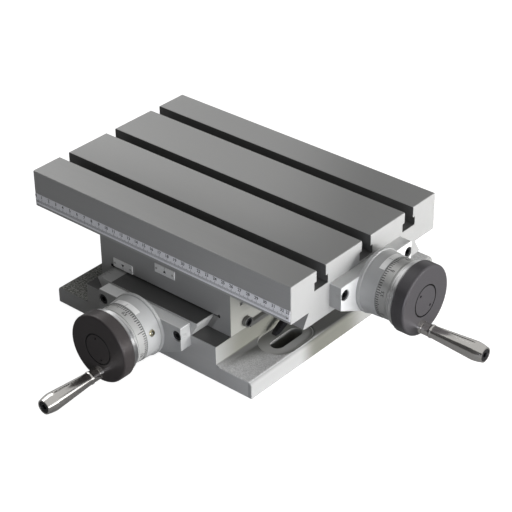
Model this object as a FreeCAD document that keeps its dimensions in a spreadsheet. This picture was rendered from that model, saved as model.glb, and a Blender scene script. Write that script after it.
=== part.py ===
import FreeCAD, Part
import math
import os
import Sketcher

# Cross slide table for a small milling machine or pillar drill.
# Right (+X) is the end with the crossways handwheel, front (-Y) is the operator's side, +Z is up.
# The origin is the middle of the base's underside. Lengths are millimetres, angles are degrees.

# Driving dimensions: name, value, what it is.
DIMENSIONS = [
    ("base_width", 254.0, "base flange, left to right"),
    ("base_depth", 281.5, "base, front to back"),
    ("flange_height", 17.2, "thickness of the base flange"),
    ("ledge_height", 38.55, "ledges of the base above its underside"),
    ("rail_height", 15.65, "base dovetail above the ledges"),
    ("dovetail_angle", 30.0, "lean of every dovetail flank from upright"),
    ("slide_width", 168.0, "saddle and raised part of the base, left to right"),
    ("way_lip", 15.15, "saddle beyond the wide end of its lower groove, left and right"),
    ("rail_chamfer", 1.5, "chamfer on the dovetails' sharp corners"),
    ("slide_clearance", 0.05, "running gap on each dovetail flank"),
    ("top_clearance", 1.1, "gap above a dovetail's flat, so that only the ledges carry"),
    ("relief_depth", 1.6, "relief notch in the corners of the dovetail grooves"),
    ("foot_reach", 6.0, "foot of the raised part on the flange, sideways"),
    ("foot_rise", 2.0, "foot of the raised part on the flange, upwards"),
    ("corner_radius", 1.0, "upright corners of the flange"),
    ("flange_edge", 4.5, "cast rounding along the flange's sides"),
    ("channel_width", 36.0, "screw channel in the base"),
    ("channel_floor", 21.4, "floor of the screw channel above the underside"),
    ("channel_front_wall", 25.0, "solid front of the base ahead of the channel"),
    ("channel_back_wall", 18.0, "solid back of the base behind the channel"),
    ("underside_relief", 3.0, "depth of the relief in the underside"),
    ("underside_land", 24.0, "ground land at the front and back of the underside"),
    ("underside_side_land", 44.0, "ground land at the sides of the underside"),
    ("underside_rib", 50.0, "ground land along the middle of the underside"),
    ("slot_width", 14.0, "fixing slot in the flange"),
    ("slot_length", 40.0, "fixing slot, end to end"),
    ("slot_across", 103.7, "fixing slot's centre from the base's middle, sideways"),
    ("slot_along", 63.5, "fixing slot's centre from the base's middle, front to back"),
    ("seat_margin", 11.0, "milled bolt seat beyond the slot, lengthways"),
    ("seat_width", 39.4, "milled bolt seat, side to side"),
    ("seat_depth", 1.0, "depth of the milled bolt seat"),
    ("saddle_inset", 0.25, "saddle's faces behind the table's, front and back"),
    ("saddle_height", 45.4, "saddle, ledge to top"),
    ("saddle_rest", -11.75, "middle of the saddle from the base's middle, as drawn"),
    ("table_length", 330.0, "table, left to right"),
    ("table_width", 215.7, "table, front to back"),
    ("table_plate", 39.3, "thickness of the table above its dovetail"),
    ("table_rail", 15.15, "table dovetail below the plate"),
    ("table_rest", -8.75, "middle of the table from the base's middle, as drawn"),
    ("table_way_lip", 16.25, "table beyond the wide end of its dovetail's groove, front and back"),
    ("table_edge", 1.0, "broken edges of the table"),
    ("tee_pitch", 65.7, "spacing of the T-slots"),
    ("tee_neck", 13.2, "width of a T-slot's neck"),
    ("tee_neck_depth", 11.3, "depth of a T-slot's neck"),
    ("tee_head", 19.2, "width of a T-slot's head"),
    ("tee_head_depth", 8.6, "height of a T-slot's head"),
    ("nut_channel_width", 34.0, "screw channel under the table"),
    ("nut_channel_roof", 14.0, "roof of that channel above the screw's axis"),
    ("table_end_wall", 16.0, "closed left end of that channel"),
    ("gib_thickness", 5.0, "gib strip, square to its flanks"),
    ("gib_gap", 0.05, "gap between a gib and the flanks"),
    ("gib_screw_radius", 3.0, "gib adjusting screw"),
    ("gib_screw_proud", 6.0, "end of a gib screw beyond the saddle"),
    ("gib_screw_pitch_y", 48.0, "spacing of the three right-hand gib screws"),
    ("gib_screw_shift_y", 22.0, "middle right-hand gib screw behind the saddle's middle"),
    ("gib_screw_pitch_x", 40.0, "spacing of the three rear gib screws"),
    ("gib_screw_shift_x", -26.0, "middle rear gib screw from the saddle's middle"),
    ("lock_nut_radius", 5.4, "gib lock nut, over its corners"),
    ("lock_nut_height", 4.0, "gib lock nut"),
    ("y_lever_inset", 20.65, "lower slide's locking lever, behind the saddle's front"),
    ("x_lever_inset", 14.0, "upper slide's locking lever, from the saddle's right side"),
    ("lever_hub_radius", 4.2, "head of a locking lever"),
    ("lever_eye_wall", 1.2, "eye of a lever's arm round the head"),
    ("lever_arm_start", 2.0, "arm of a locking lever, from the pivot"),
    ("lever_hub_proud", 4.6, "head of a locking lever, beyond the saddle"),
    ("lever_arm_length", 48.0, "locking lever, pivot to tip"),
    ("lever_arm_height", 4.7, "arm of a locking lever, upright"),
    ("lever_arm_thickness", 3.7, "arm of a locking lever, across"),
    ("lever_arm_drop", 4.3, "arm's middle below the pivot"),
    ("lever_gap", 0.7, "gap between a lever arm and the saddle"),
    ("lever_screw_radius", 3.0, "threaded shank of a locking lever"),
    ("lever_edge", 0.6, "broken edge of a lever's head"),
    ("lock_plug_length", 7.0, "brass plug between the lever's shank and the gib"),
    ("y_screw_height", 35.4, "lower screw's axis above the underside"),
    ("x_screw_height", 83.7, "upper screw's axis above the underside"),
    ("y_travel_front", 31.0, "saddle travel forwards from rest"),
    ("y_travel_back", 87.0, "saddle travel backwards from rest"),
    ("x_travel_left", 66.0, "table travel leftwards from rest"),
    ("x_travel_right", 94.0, "table travel rightwards from rest"),
    ("bracket_width", 106.4, "screw bracket, side to side"),
    ("bracket_thickness", 13.5, "plate of a screw bracket"),
    ("bracket_rise", 16.8, "top of a bracket above the screw's axis"),
    ("bracket_drop", 8.0, "foot of a bracket's ends below the screw's axis"),
    ("bracket_edge", 1.0, "broken edges of a bracket's plate"),
    ("boss_radius", 31.0, "bracket boss at its root"),
    ("boss_mouth_radius", 30.2, "bracket boss at its mouth"),
    ("boss_length", 20.0, "bracket boss beyond the plate"),
    ("boss_fillet", 7.0, "fillet from the plate's top to the boss"),
    ("boss_collar", 1.2, "collar at the boss's root, beyond the boss"),
    ("boss_collar_length", 3.0, "collar at the boss's root"),
    ("boss_step", 0.6, "slope from the collar to the boss"),
    ("bracket_screw_across", 47.8, "bracket screw from the axis, sideways"),
    ("bracket_screw_rise", 6.8, "bracket screw above the axis"),
    ("bracket_screw_radius", 3.0, "bracket screw, M6"),
    ("bracket_head_radius", 5.0, "bracket screw head"),
    ("bracket_head_height", 6.0, "bracket screw head"),
    ("bracket_head_sink", 1.0, "bracket screw head below the plate's face"),
    ("bracket_screw_grip", 14.0, "bracket screw in the casting"),
    ("counterbore_clearance", 0.6, "counterbore beyond the screw head, all round"),
    ("bolt_clearance", 0.3, "clearance hole beyond the screw, all round"),
    ("bearing_radius", 14.0, "ball bearing, outside"),
    ("bearing_bore", 6.0, "ball bearing, bore radius"),
    ("bearing_width", 8.0, "ball bearing"),
    ("bearing_shoulder", 5.2, "first bearing beyond the mounting face"),
    ("bearing_step", 8.1, "from one bearing to the next"),
    ("bearing_race", 3.6, "outer ring of a bearing, across its wall"),
    ("bearing_hub", 3.2, "inner ring of a bearing, across its wall"),
    ("housing_bore", 10.0, "hole in the bracket behind the bearings"),
    ("seat_fit", 0.02, "fit of the bearings and hubs, all round"),
    ("snap_ring_width", 1.2, "retaining ring of the bearings"),
    ("snap_ring_depth", 0.9, "retaining ring's groove"),
    ("snap_ring_rim", 2.2, "retaining ring inside the housing's bore"),
    ("snap_ring_play", 0.05, "play of the retaining ring in its groove"),
    ("stack_gap", 0.1, "play between pieces that stack along a screw"),
    ("dial_gap", 0.3, "gap between the boss and the dial"),
    ("dial_radius", 29.8, "graduated dial"),
    ("dial_width", 13.4, "graduated dial"),
    ("dial_groove", 0.5, "depth of the groove near the front of the dial"),
    ("dial_groove_width", 0.5, "floor of that groove"),
    ("dial_groove_slope", 0.3, "sloping sides of that groove"),
    ("dial_groove_setback", 1.5, "groove behind the dial's front"),
    ("dial_edge", 0.4, "broken front edge of the dial"),
    ("dial_seat_radius", 22.0, "hub that the dial turns on"),
    ("running_fit", 0.06, "gap of the dial and the handle grip, all round"),
    ("hub_ring_radius", 31.2, "first polished ring of the dial hub"),
    ("hub_flange_radius", 32.6, "second polished ring of the dial hub"),
    ("hub_ring_width", 1.4, "first polished ring"),
    ("hub_flange_width", 6.8, "both polished rings"),
    ("hub_groove", 1.0, "depth of the groove between the rings"),
    ("hub_groove_width", 0.8, "groove between the rings"),
    ("hub_edge", 0.6, "slope into the second ring"),
    ("hub_round", 1.2, "slope off the second ring"),
    ("hub_wall", 3.0, "spigot of the hub round the screw"),
    ("wheel_gap", 0.2, "gap between the dial hub and the handwheel"),
    ("wheel_radius", 34.8, "handwheel"),
    ("wheel_width", 14.0, "handwheel"),
    ("wheel_edge", 2.2, "rounding of the handwheel's rim"),
    ("cap_radius", 15.4, "cap in the handwheel"),
    ("cap_thickness", 3.8, "cap in the handwheel"),
    ("cap_gap", 0.35, "groove round the cap"),
    ("cap_recess", 10.0, "recess for the end nut behind the cap"),
    ("cap_edge", 0.3, "broken edge of the cap"),
    ("pin_hole_radius", 1.3, "spanner holes in the cap"),
    ("pin_hole_circle", 11.1, "spanner holes from the cap's centre"),
    ("y_pin_hole_angle", 106.0, "front cap's spanner holes as drawn"),
    ("x_pin_hole_angle", 133.0, "end cap's spanner holes as drawn"),
    ("pin_hole_depth", 2.0, "spanner holes"),
    ("screw_radius", 8.0, "lead screw over its thread"),
    ("thread_clearance", 0.1, "gap between the screw and its nut"),
    ("collar_radius", 9.4, "collar of the lead screw"),
    ("collar_length", 4.0, "collar of the lead screw"),
    ("screw_end_bevel", 1.5, "bevel at the lead screw's free end"),
    ("screw_tail", 6.0, "lead screw beyond its nut at full travel"),
    ("end_nut_radius", 9.8, "end nut over its corners"),
    ("end_nut_height", 5.4, "end nut"),
    ("end_thread_radius", 5.0, "threaded end of the lead screw"),
    ("key_width", 4.0, "key of the hub and handwheel"),
    ("key_height", 4.0, "key"),
    ("key_length", 20.0, "key"),
    ("key_start", 38.0, "key from the mounting face"),
    ("nut_length", 36.0, "bronze nut along its screw"),
    ("nut_width", 28.0, "bronze nut across"),
    ("nut_cover", 11.5, "bronze nut beyond the screw's axis"),
    ("nut_foot_length", 58.0, "foot of the nut"),
    ("nut_foot_height", 7.0, "foot of the nut"),
    ("nut_screw_pitch", 46.0, "spacing of the nut's two screws"),
    ("nut_screw_radius", 2.5, "nut screw, M5"),
    ("nut_head_radius", 4.25, "nut screw head"),
    ("nut_head_height", 5.0, "nut screw head"),
    ("nut_screw_grip", 9.0, "nut screw in the saddle"),
    ("handle_circle", 25.5, "handle's axis from the screw's axis"),
    ("y_handle_angle", -90.0, "front handle as drawn, from the right"),
    ("x_handle_angle", -103.0, "end handle as drawn, from the right"),
    ("stud_root_radius", 4.0, "handle stud in the wheel"),
    ("stud_root_length", 9.0, "handle stud in the wheel"),
    ("stud_collar_radius", 6.0, "collar of the handle stud"),
    ("stud_foot_radius", 6.5, "foot of the collar"),
    ("stud_groove_width", 0.7, "groove between the collar and its foot"),
    ("stud_groove_depth", 0.8, "groove between the collar and its foot"),
    ("stud_collar_length", 11.4, "collar of the handle stud"),
    ("stud_foot_length", 3.4, "foot of the collar, up to its groove"),
    ("stud_radius", 3.9, "spindle that the grip turns on"),
    ("grip_gap", 0.4, "gap between the collar and the grip"),
    ("grip_root_radius", 6.6, "grip at the wheel's end"),
    ("grip_bead", 1.6, "bead at the wheel's end of the grip"),
    ("grip_edge", 0.5, "broken edges of the grip"),
    ("grip_waist_start", 3.0, "narrowest place of the grip, from its start"),
    ("grip_waist_radius", 6.1, "grip at its narrowest"),
    ("grip_radius", 9.0, "grip at its thickest"),
    ("grip_tip_radius", 7.3, "grip's flat end"),
    ("grip_length", 58.7, "grip"),
    ("grip_taper", 11.5, "grip's taper to its end"),
    ("grip_sink", 6.4, "counterbore in the grip's end"),
    ("grip_screw_head_radius", 6.0, "screw head in the grip's end"),
    ("grip_screw_sink", 0.5, "screw head below the grip's end"),
    ("grip_screw_radius", 2.0, "screw in the stud's end"),
    ("grip_screw_length", 16.0, "screw in the stud's end"),
    ("hex_depth", 3.0, "hexagon sockets"),
    ("hex_radius", 2.9, "hexagon sockets over their corners"),
    ("oiler_radius", 3.4, "ball oiler"),
    ("oiler_angle", 17.0, "ball oiler's place on the boss, from the right"),
    ("oiler_station", 26.5, "ball oiler from the mounting face"),
    ("oiler_proud", 0.9, "ball oiler beyond the boss"),
    ("oiler_depth", 6.0, "ball oiler in the boss"),
    ("oiler_ball_radius", 1.9, "ball of the oiler"),
    ("oiler_hole_radius", 1.0, "oil hole under the ball"),
    ("oiler_mouth_radius", 1.4, "mouth of the oiler's sleeve"),
    ("oiler_lip", 1.1, "sloping lip that keeps the ball in"),
    ("oiler_chamber", 4.6, "depth of the ball's chamber"),
    ("oiler_ball_depth", 2.2, "ball's middle below the sleeve's top"),
    ("plate_length", 25.4, "index plate"),
    ("plate_height", 9.4, "index plate"),
    ("plate_thickness", 0.8, "index plate"),
    ("plate_pin_pitch", 20.6, "drive pins of an index plate"),
    ("plate_pin_radius", 1.0, "drive pins"),
    ("plate_pin_head", 0.5, "drive pin heads beyond the plate"),
    ("plate_pin_length", 5.0, "drive pins in the casting"),
    ("y_plate_across", -53.8, "lower index plate's middle"),
    ("y_plate_rise", 22.05, "lower index plate's middle above the saddle's lower edge"),
    ("x_plate_across", 2.2, "upper index plate's middle"),
    ("x_plate_rise", 38.65, "upper index plate's middle above the saddle's lower edge"),
    ("rule_height", 11.6, "rule strip"),
    ("rule_thickness", 0.5, "rule strip"),
    ("rule_rise", 2.6, "rule strip above the table plate's lower edge"),
    ("rule_pin_inset", 3.0, "rule pins from the strip's ends"),
    ("rule_pin_rise", 3.2, "rule pins above the strip's lower edge"),
    ("rule_pin_radius", 0.8, "rule pins"),
    ("rule_pin_head", 0.4, "rule pin heads beyond the strip"),
]

# A sketch numbers the points of a shape as start, end and centre, and its own axes as shape -1.
START, END, CENTRE = range(1, 4)
AXES = -1

OVERRUN = 1.0           # how far a cutting shape runs past the metal

doc = FreeCAD.newDocument("CrossSlideTable")
Vector = FreeCAD.Vector
Rotation = FreeCAD.Rotation
Placement = FreeCAD.Placement
nodes = []


class Size:
    """A length or an angle: its value, and the expression that binds it to the sheet."""

    def __init__(self, value, text):
        self.value = value
        self.text = text

    def __add__(self, other):
        other = as_size(other)
        return Size(self.value + other.value, f"({self.text} + {other.text})")

    def __sub__(self, other):
        other = as_size(other)
        return Size(self.value - other.value, f"({self.text} - {other.text})")

    def __mul__(self, other):
        other = as_size(other)
        return Size(self.value * other.value, f"({self.text} * {other.text})")

    def __truediv__(self, other):
        other = as_size(other)
        return Size(self.value / other.value, f"({self.text} / {other.text})")

    def __neg__(self):
        return Size(-self.value, f"(0 - {self.text})")

    def __radd__(self, other):
        return as_size(other) + self

    def __rsub__(self, other):
        return as_size(other) - self

    def __rmul__(self, other):
        return as_size(other) * self


def as_size(number):
    return number if isinstance(number, Size) else Size(float(number), f"{number}")


def tangent(angle):
    return Size(math.tan(math.radians(angle.value)), f"tan({angle.text} * 1 deg)")


def cosine(angle):
    return Size(math.cos(math.radians(angle.value)), f"cos({angle.text} * 1 deg)")


def sine(angle):
    return Size(math.sin(math.radians(angle.value)), f"sin({angle.text} * 1 deg)")


class Sheet:
    """The spreadsheet of driving dimensions, with each one as a Size."""

    def __init__(self, rows):
        self.cells = doc.addObject("Spreadsheet::Sheet", "Dimensions")
        for row, (alias, value, meaning) in enumerate(rows, start=1):
            self.cells.set(f"A{row}", meaning)
            self.cells.set(f"B{row}", f"{value}")
            self.cells.setAlias(f"B{row}", alias)
            setattr(self, alias, Size(float(value), f"Dimensions.{alias}"))


d = Sheet(DIMENSIONS)
doc.recompute()


def bind(thing, prop, size):
    thing.setExpression(prop, as_size(size).text)


# Sketches and features

def new_body(label, place=None):
    body = doc.addObject("PartDesign::Body", label)
    body.Label = label
    if place is not None:
        body.Placement = place
    return body


def sketch_on(body, role, name, offset=None):
    """An empty sketch on one of the body's own origin planes, moved along the plane's normal."""
    plane = next(item for item in body.Origin.OriginFeatures if item.Role == role)
    sketch = body.newObject("Sketcher::SketchObject", name)
    sketch.AttachmentSupport = (plane, [""])
    sketch.MapMode = "FlatFace"
    if offset is not None:
        bind(sketch, "AttachmentOffset.Base.z", offset)
    return sketch


def fix_point(sketch, shape, point, across, up):
    """Hold a point of a sketch at two sizes from the sketch's origin."""
    for kind, size in (("DistanceX", across), ("DistanceY", up)):
        size = as_size(size)
        rule = sketch.addConstraint(Sketcher.Constraint(kind, AXES, 1, shape, point, size.value))
        bind(sketch, f"Constraints[{rule}]", size)


def outline(sketch, points):
    """A closed outline of straight lines, every corner bound to the sheet."""
    first = sketch.GeometryCount
    corners = [Vector(as_size(u).value, as_size(v).value, 0) for u, v in points]
    count = len(corners)
    for k in range(count):
        sketch.addGeometry(Part.LineSegment(corners[k], corners[(k + 1) % count]), False)
    for k in range(count):
        joint = Sketcher.Constraint("Coincident", first + k, END, first + (k + 1) % count, START)
        sketch.addConstraint(joint)
    for k, (u, v) in enumerate(points):
        fix_point(sketch, first + k, START, u, v)
    return sketch


def circle(sketch, across, up, radius):
    across, up, radius = as_size(across), as_size(up), as_size(radius)
    centre = Vector(across.value, up.value, 0)
    shape = sketch.addGeometry(Part.Circle(centre, Vector(0, 0, 1), radius.value), False)
    fix_point(sketch, shape, CENTRE, across, up)
    rule = sketch.addConstraint(Sketcher.Constraint("Radius", shape, radius.value))
    bind(sketch, f"Constraints[{rule}]", radius)
    return shape


def obround(sketch, across, up, length, width):
    """A slot outline that stands upright in the sketch: two half circles and two lines."""
    half = (length - width) / 2
    radius = width / 2
    top = Vector(across.value, (up + half).value, 0)
    low = Vector(across.value, (up - half).value, 0)
    normal = Vector(0, 0, 1)
    side = Vector(radius.value, 0, 0)
    top_arc = sketch.addGeometry(Part.ArcOfCircle(Part.Circle(top, normal, radius.value), 0, math.pi), False)
    left = sketch.addGeometry(Part.LineSegment(top - side, low - side), False)
    low_circle = Part.Circle(low, normal, radius.value)
    low_arc = sketch.addGeometry(Part.ArcOfCircle(low_circle, math.pi, 2 * math.pi), False)
    right = sketch.addGeometry(Part.LineSegment(low + side, top + side), False)
    for one, one_end, other, other_end in (
            (top_arc, END, left, START), (left, END, low_arc, START),
            (low_arc, END, right, START), (right, END, top_arc, START)):
        sketch.addConstraint(Sketcher.Constraint("Tangent", one, one_end, other, other_end))
    fix_point(sketch, top_arc, CENTRE, across, up + half)
    fix_point(sketch, low_arc, CENTRE, across, up - half)
    rule = sketch.addConstraint(Sketcher.Constraint("Radius", top_arc, radius.value))
    bind(sketch, f"Constraints[{rule}]", radius)
    sketch.addConstraint(Sketcher.Constraint("Equal", top_arc, low_arc))


def pad(body, sketch, length, name, both_sides=False, backwards=False):
    feature = body.newObject("PartDesign::Pad", name)
    feature.Profile = sketch
    bind(feature, "Length", length)
    feature.SideType = "Symmetric" if both_sides else "One side"
    feature.Reversed = backwards
    doc.recompute()
    return feature


def cut(body, sketch, name, depth=None, both_sides=False, along_normal=False):
    """Cut a sketch away, through everything when no depth is given, on the side that has metal."""
    before = body.Shape.Volume
    feature = body.newObject("PartDesign::Pocket", name)
    feature.Profile = sketch
    feature.SideType = "Symmetric" if both_sides else "One side"
    if depth is None:
        feature.Type = "ThroughAll"
    else:
        bind(feature, "Length", depth)
    feature.Reversed = along_normal
    doc.recompute()
    if body.Shape.Volume > before * (1 - 1e-9):
        feature.Reversed = True
        doc.recompute()
    return feature


def turn(body, points, name, cutting=False):
    """A turned form about the body's Y axis: (station ahead of the face, radius) corners."""
    sketch = sketch_on(body, "YZ_Plane", name + "_profile")
    outline(sketch, [(-as_size(station), radius) for station, radius in points])
    kind = "PartDesign::Groove" if cutting else "PartDesign::Revolution"
    feature = body.newObject(kind, name)
    feature.Profile = sketch
    feature.ReferenceAxis = (sketch, ["H_Axis"])
    feature.Angle = 360
    doc.recompute()
    return feature


def edges_where(shape, test):
    """Names of the edges whose middle and bounding box pass a test."""
    names = []
    for number, edge in enumerate(shape.Edges, start=1):
        middle = edge.valueAt((edge.FirstParameter + edge.LastParameter) / 2)
        if test(edge, middle, edge.BoundBox):
            names.append(f"Edge{number}")
    return names


def dress(body, kind, test, size, name):
    """Fillet or chamfer the edges of the body's last feature that pass a test."""
    base = body.Tip
    names = edges_where(base.Shape, test)
    feature = body.newObject(kind, name)
    feature.Base = (base, names)
    bind(feature, "Radius" if kind.endswith("Fillet") else "Size", size)
    doc.recompute()
    return feature


FLAT = 0.01             # an edge whose box is thinner than this lies flat that way


def near(value, target, within=FLAT * 2):
    return abs(value - as_size(target).value) < within


# Primitives, placed in one of the assembly's frames

FORWARD = Rotation(Vector(1, 0, 0), 90)      # turns a primitive's own axis to local -Y


def cylinder(radius, length, place, name):
    shape = doc.addObject("Part::Cylinder", name)
    bind(shape, "Radius", radius)
    bind(shape, "Height", length)
    shape.Placement = place
    return shape


def hexagon(radius, length, place, name):
    shape = doc.addObject("Part::Prism", name)
    shape.Polygon = 6
    bind(shape, "Circumradius", radius)
    bind(shape, "Height", length)
    shape.Placement = place
    return shape


def block(length, width, height, place, name):
    """A box centred on its place in X and Y, standing up from it in Z."""
    shape = doc.addObject("Part::Box", name)
    bind(shape, "Length", length)
    bind(shape, "Width", width)
    bind(shape, "Height", height)
    corner = Vector(-as_size(length).value / 2, -as_size(width).value / 2, 0)
    shape.Placement = place.multiply(Placement(corner, Rotation()))
    return shape


def joined(shapes, name):
    fused = doc.addObject("Part::MultiFuse", name)
    fused.Shapes = shapes
    return fused


def less(base, tool, name):
    result = doc.addObject("Part::Cut", name)
    result.Base = base
    result.Tool = tool
    return result


def group(shapes, name):
    together = doc.addObject("Part::Compound", name)
    together.Links = shapes
    return together


def node(thing, label):
    thing.Label = label
    nodes.append(thing)
    return thing


def cap_screw(frame, at, radius, length, head_radius, head_height, name, forward=FORWARD):
    """A socket-head screw: at is under its head, and the head points along local -Y."""
    under = frame.multiply(Placement(at, forward))
    tip = under.multiply(Placement(Vector(0, 0, -as_size(length).value), Rotation()))
    shank = cylinder(radius, length, tip, name + "_shank")
    head = cylinder(head_radius, head_height, under, name + "_head")
    socket_at = Vector(0, 0, (as_size(head_height) - d.hex_depth).value)
    socket = hexagon(d.hex_radius, d.hex_depth + OVERRUN, under.multiply(Placement(socket_at, Rotation())),
                     name + "_socket")
    return less(joined([shank, head], name + "_solid"), socket, name)


# Heights and edges that several pieces share

rail_top = d.ledge_height + d.rail_height
saddle_top = d.ledge_height + d.saddle_height
web_underside = rail_top + d.top_clearance
table_rail_bottom = saddle_top - d.table_rail
web_top = table_rail_bottom - d.top_clearance
table_top = saddle_top + d.table_plate
lean = tangent(d.dovetail_angle)
gib_width = d.gib_thickness / cosine(d.dovetail_angle)
saddle_depth = d.table_width - d.saddle_inset * 2
saddle_front = d.saddle_rest - saddle_depth / 2
saddle_back = d.saddle_rest + saddle_depth / 2
table_right = d.table_rest + d.table_length / 2
table_left = d.table_rest - d.table_length / 2
way_half = d.slide_width / 2 - d.way_lip
table_way_half = d.table_width / 2 - d.table_way_lip
gib_middle_y = d.ledge_height + d.rail_height / 2
gib_middle_x = saddle_top - d.table_rail / 2

# Stations along a screw, measured outwards from the face that its bracket is bolted to

boss_mouth = d.bracket_thickness + d.boss_length
dial_start = boss_mouth + d.dial_gap
hub_start = dial_start + d.dial_width + d.wheel_gap
wheel_start = hub_start + d.hub_flange_width + d.wheel_gap
wheel_face = wheel_start + d.wheel_width
recess_floor = wheel_face - d.cap_recess
grip_start = wheel_face + d.stud_collar_length + d.grip_gap
grip_end = grip_start + d.grip_length
bearings_end = d.bearing_shoulder + d.bearing_step + d.bearing_width
snap_ring_start = bearings_end + d.stack_gap * 2
end_nut_start = recess_floor + d.wheel_gap

y_face = -d.base_depth / 2
FRAMES = {
    "y": Placement(Vector(0, y_face.value, d.y_screw_height.value), Rotation()),
    "x": Placement(Vector(table_right.value, d.saddle_rest.value, d.x_screw_height.value),
                   Rotation(Vector(0, 0, 1), 90)),
}
HANDLE_ANGLES = {"y": d.y_handle_angle, "x": d.x_handle_angle}
PIN_HOLE_ANGLES = {"y": d.y_pin_hole_angle, "x": d.x_pin_hole_angle}


# Base

def make_base():
    body = new_body("base_casting")
    rail_left = way_half - d.slide_clearance
    rail_right = way_half - gib_width - d.gib_gap * 2
    chamfer = d.rail_chamfer
    lean_in = d.rail_height * lean
    chamfer_in = chamfer * lean
    half_flange = d.base_width / 2
    half_slide = d.slide_width / 2
    profile = sketch_on(body, "XZ_Plane", "base_section")
    outline(profile, [
        (-half_flange, 0), (half_flange, 0), (half_flange, d.flange_height),
        (half_slide + d.foot_reach, d.flange_height), (half_slide, d.flange_height + d.foot_rise),
        (half_slide, d.ledge_height),
        (rail_right - lean_in, d.ledge_height), (rail_right - chamfer_in, rail_top - chamfer),
        (rail_right - chamfer_in - chamfer, rail_top),
        (-(rail_left - chamfer_in - chamfer), rail_top),
        (-(rail_left - chamfer_in), rail_top - chamfer), (-(rail_left - lean_in), d.ledge_height),
        (-half_slide, d.ledge_height), (-half_slide, d.flange_height + d.foot_rise),
        (-(half_slide + d.foot_reach), d.flange_height), (-half_flange, d.flange_height)])
    pad(body, profile, d.base_depth, "base_block", both_sides=True)

    def flange_side(edge, middle, box):
        return near(abs(middle.x), half_flange) and near(middle.z, d.flange_height)

    dress(body, "PartDesign::Fillet", flange_side, d.flange_edge, "flange_sides")

    def upright_corner(edge, middle, box):
        on_end = near(abs(middle.y), d.base_depth / 2)
        return on_end and near(abs(middle.x), half_flange) and box.XLength < FLAT

    dress(body, "PartDesign::Fillet", upright_corner, d.corner_radius, "flange_corners")

    channel = sketch_on(body, "XY_Plane", "channel_outline", d.channel_floor)
    half_channel = d.channel_width / 2
    front = y_face + d.channel_front_wall
    back = d.base_depth / 2 - d.channel_back_wall
    outline(channel, [(-half_channel, front), (half_channel, front), (half_channel, back),
                      (-half_channel, back)])
    cut(body, channel, "screw_channel", d.base_depth, along_normal=True)

    # Two shallow pockets leave ground lands round the rim and along the middle of the underside.
    under = sketch_on(body, "XY_Plane", "underside_outline")
    inner = d.underside_rib / 2
    outer = half_flange - d.underside_side_land
    half_y = d.base_depth / 2 - d.underside_land
    outline(under, [(inner, -half_y), (outer, -half_y), (outer, half_y), (inner, half_y)])
    outline(under, [(-outer, -half_y), (-inner, -half_y), (-inner, half_y), (-outer, half_y)])
    cut(body, under, "underside_pockets", d.underside_relief)

    # Four fixing slots through the flange, each in a milled seat for its bolt head.
    seats = sketch_on(body, "XY_Plane", "bolt_seats", d.flange_height - d.seat_depth)
    slots = sketch_on(body, "XY_Plane", "fixing_slots", d.flange_height)
    for side in (-1, 1):
        for end in (-1, 1):
            across = d.slot_across * side
            along = d.slot_along * end
            obround(seats, across, along, d.slot_length + d.seat_margin * 2, d.seat_width)
            obround(slots, across, along, d.slot_length, d.slot_width)
    cut(body, seats, "seat_pockets", d.ledge_height - d.flange_height, along_normal=True)
    cut(body, slots, "slot_pockets")

    bore = sketch_on(body, "XZ_Plane", "front_bore_outline", -y_face)
    circle(bore, 0, d.y_screw_height, d.housing_bore)
    cut(body, bore, "front_bore", d.channel_front_wall + OVERRUN)
    threads = sketch_on(body, "XZ_Plane", "bracket_thread_outline", -y_face)
    for side in (-1, 1):
        circle(threads, d.bracket_screw_across * side, d.y_screw_height + d.bracket_screw_rise,
               d.bracket_screw_radius + d.seat_fit)
    cut(body, threads, "bracket_threads", d.bracket_screw_grip + OVERRUN)
    return node(body, "base_casting")


# Saddle

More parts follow.
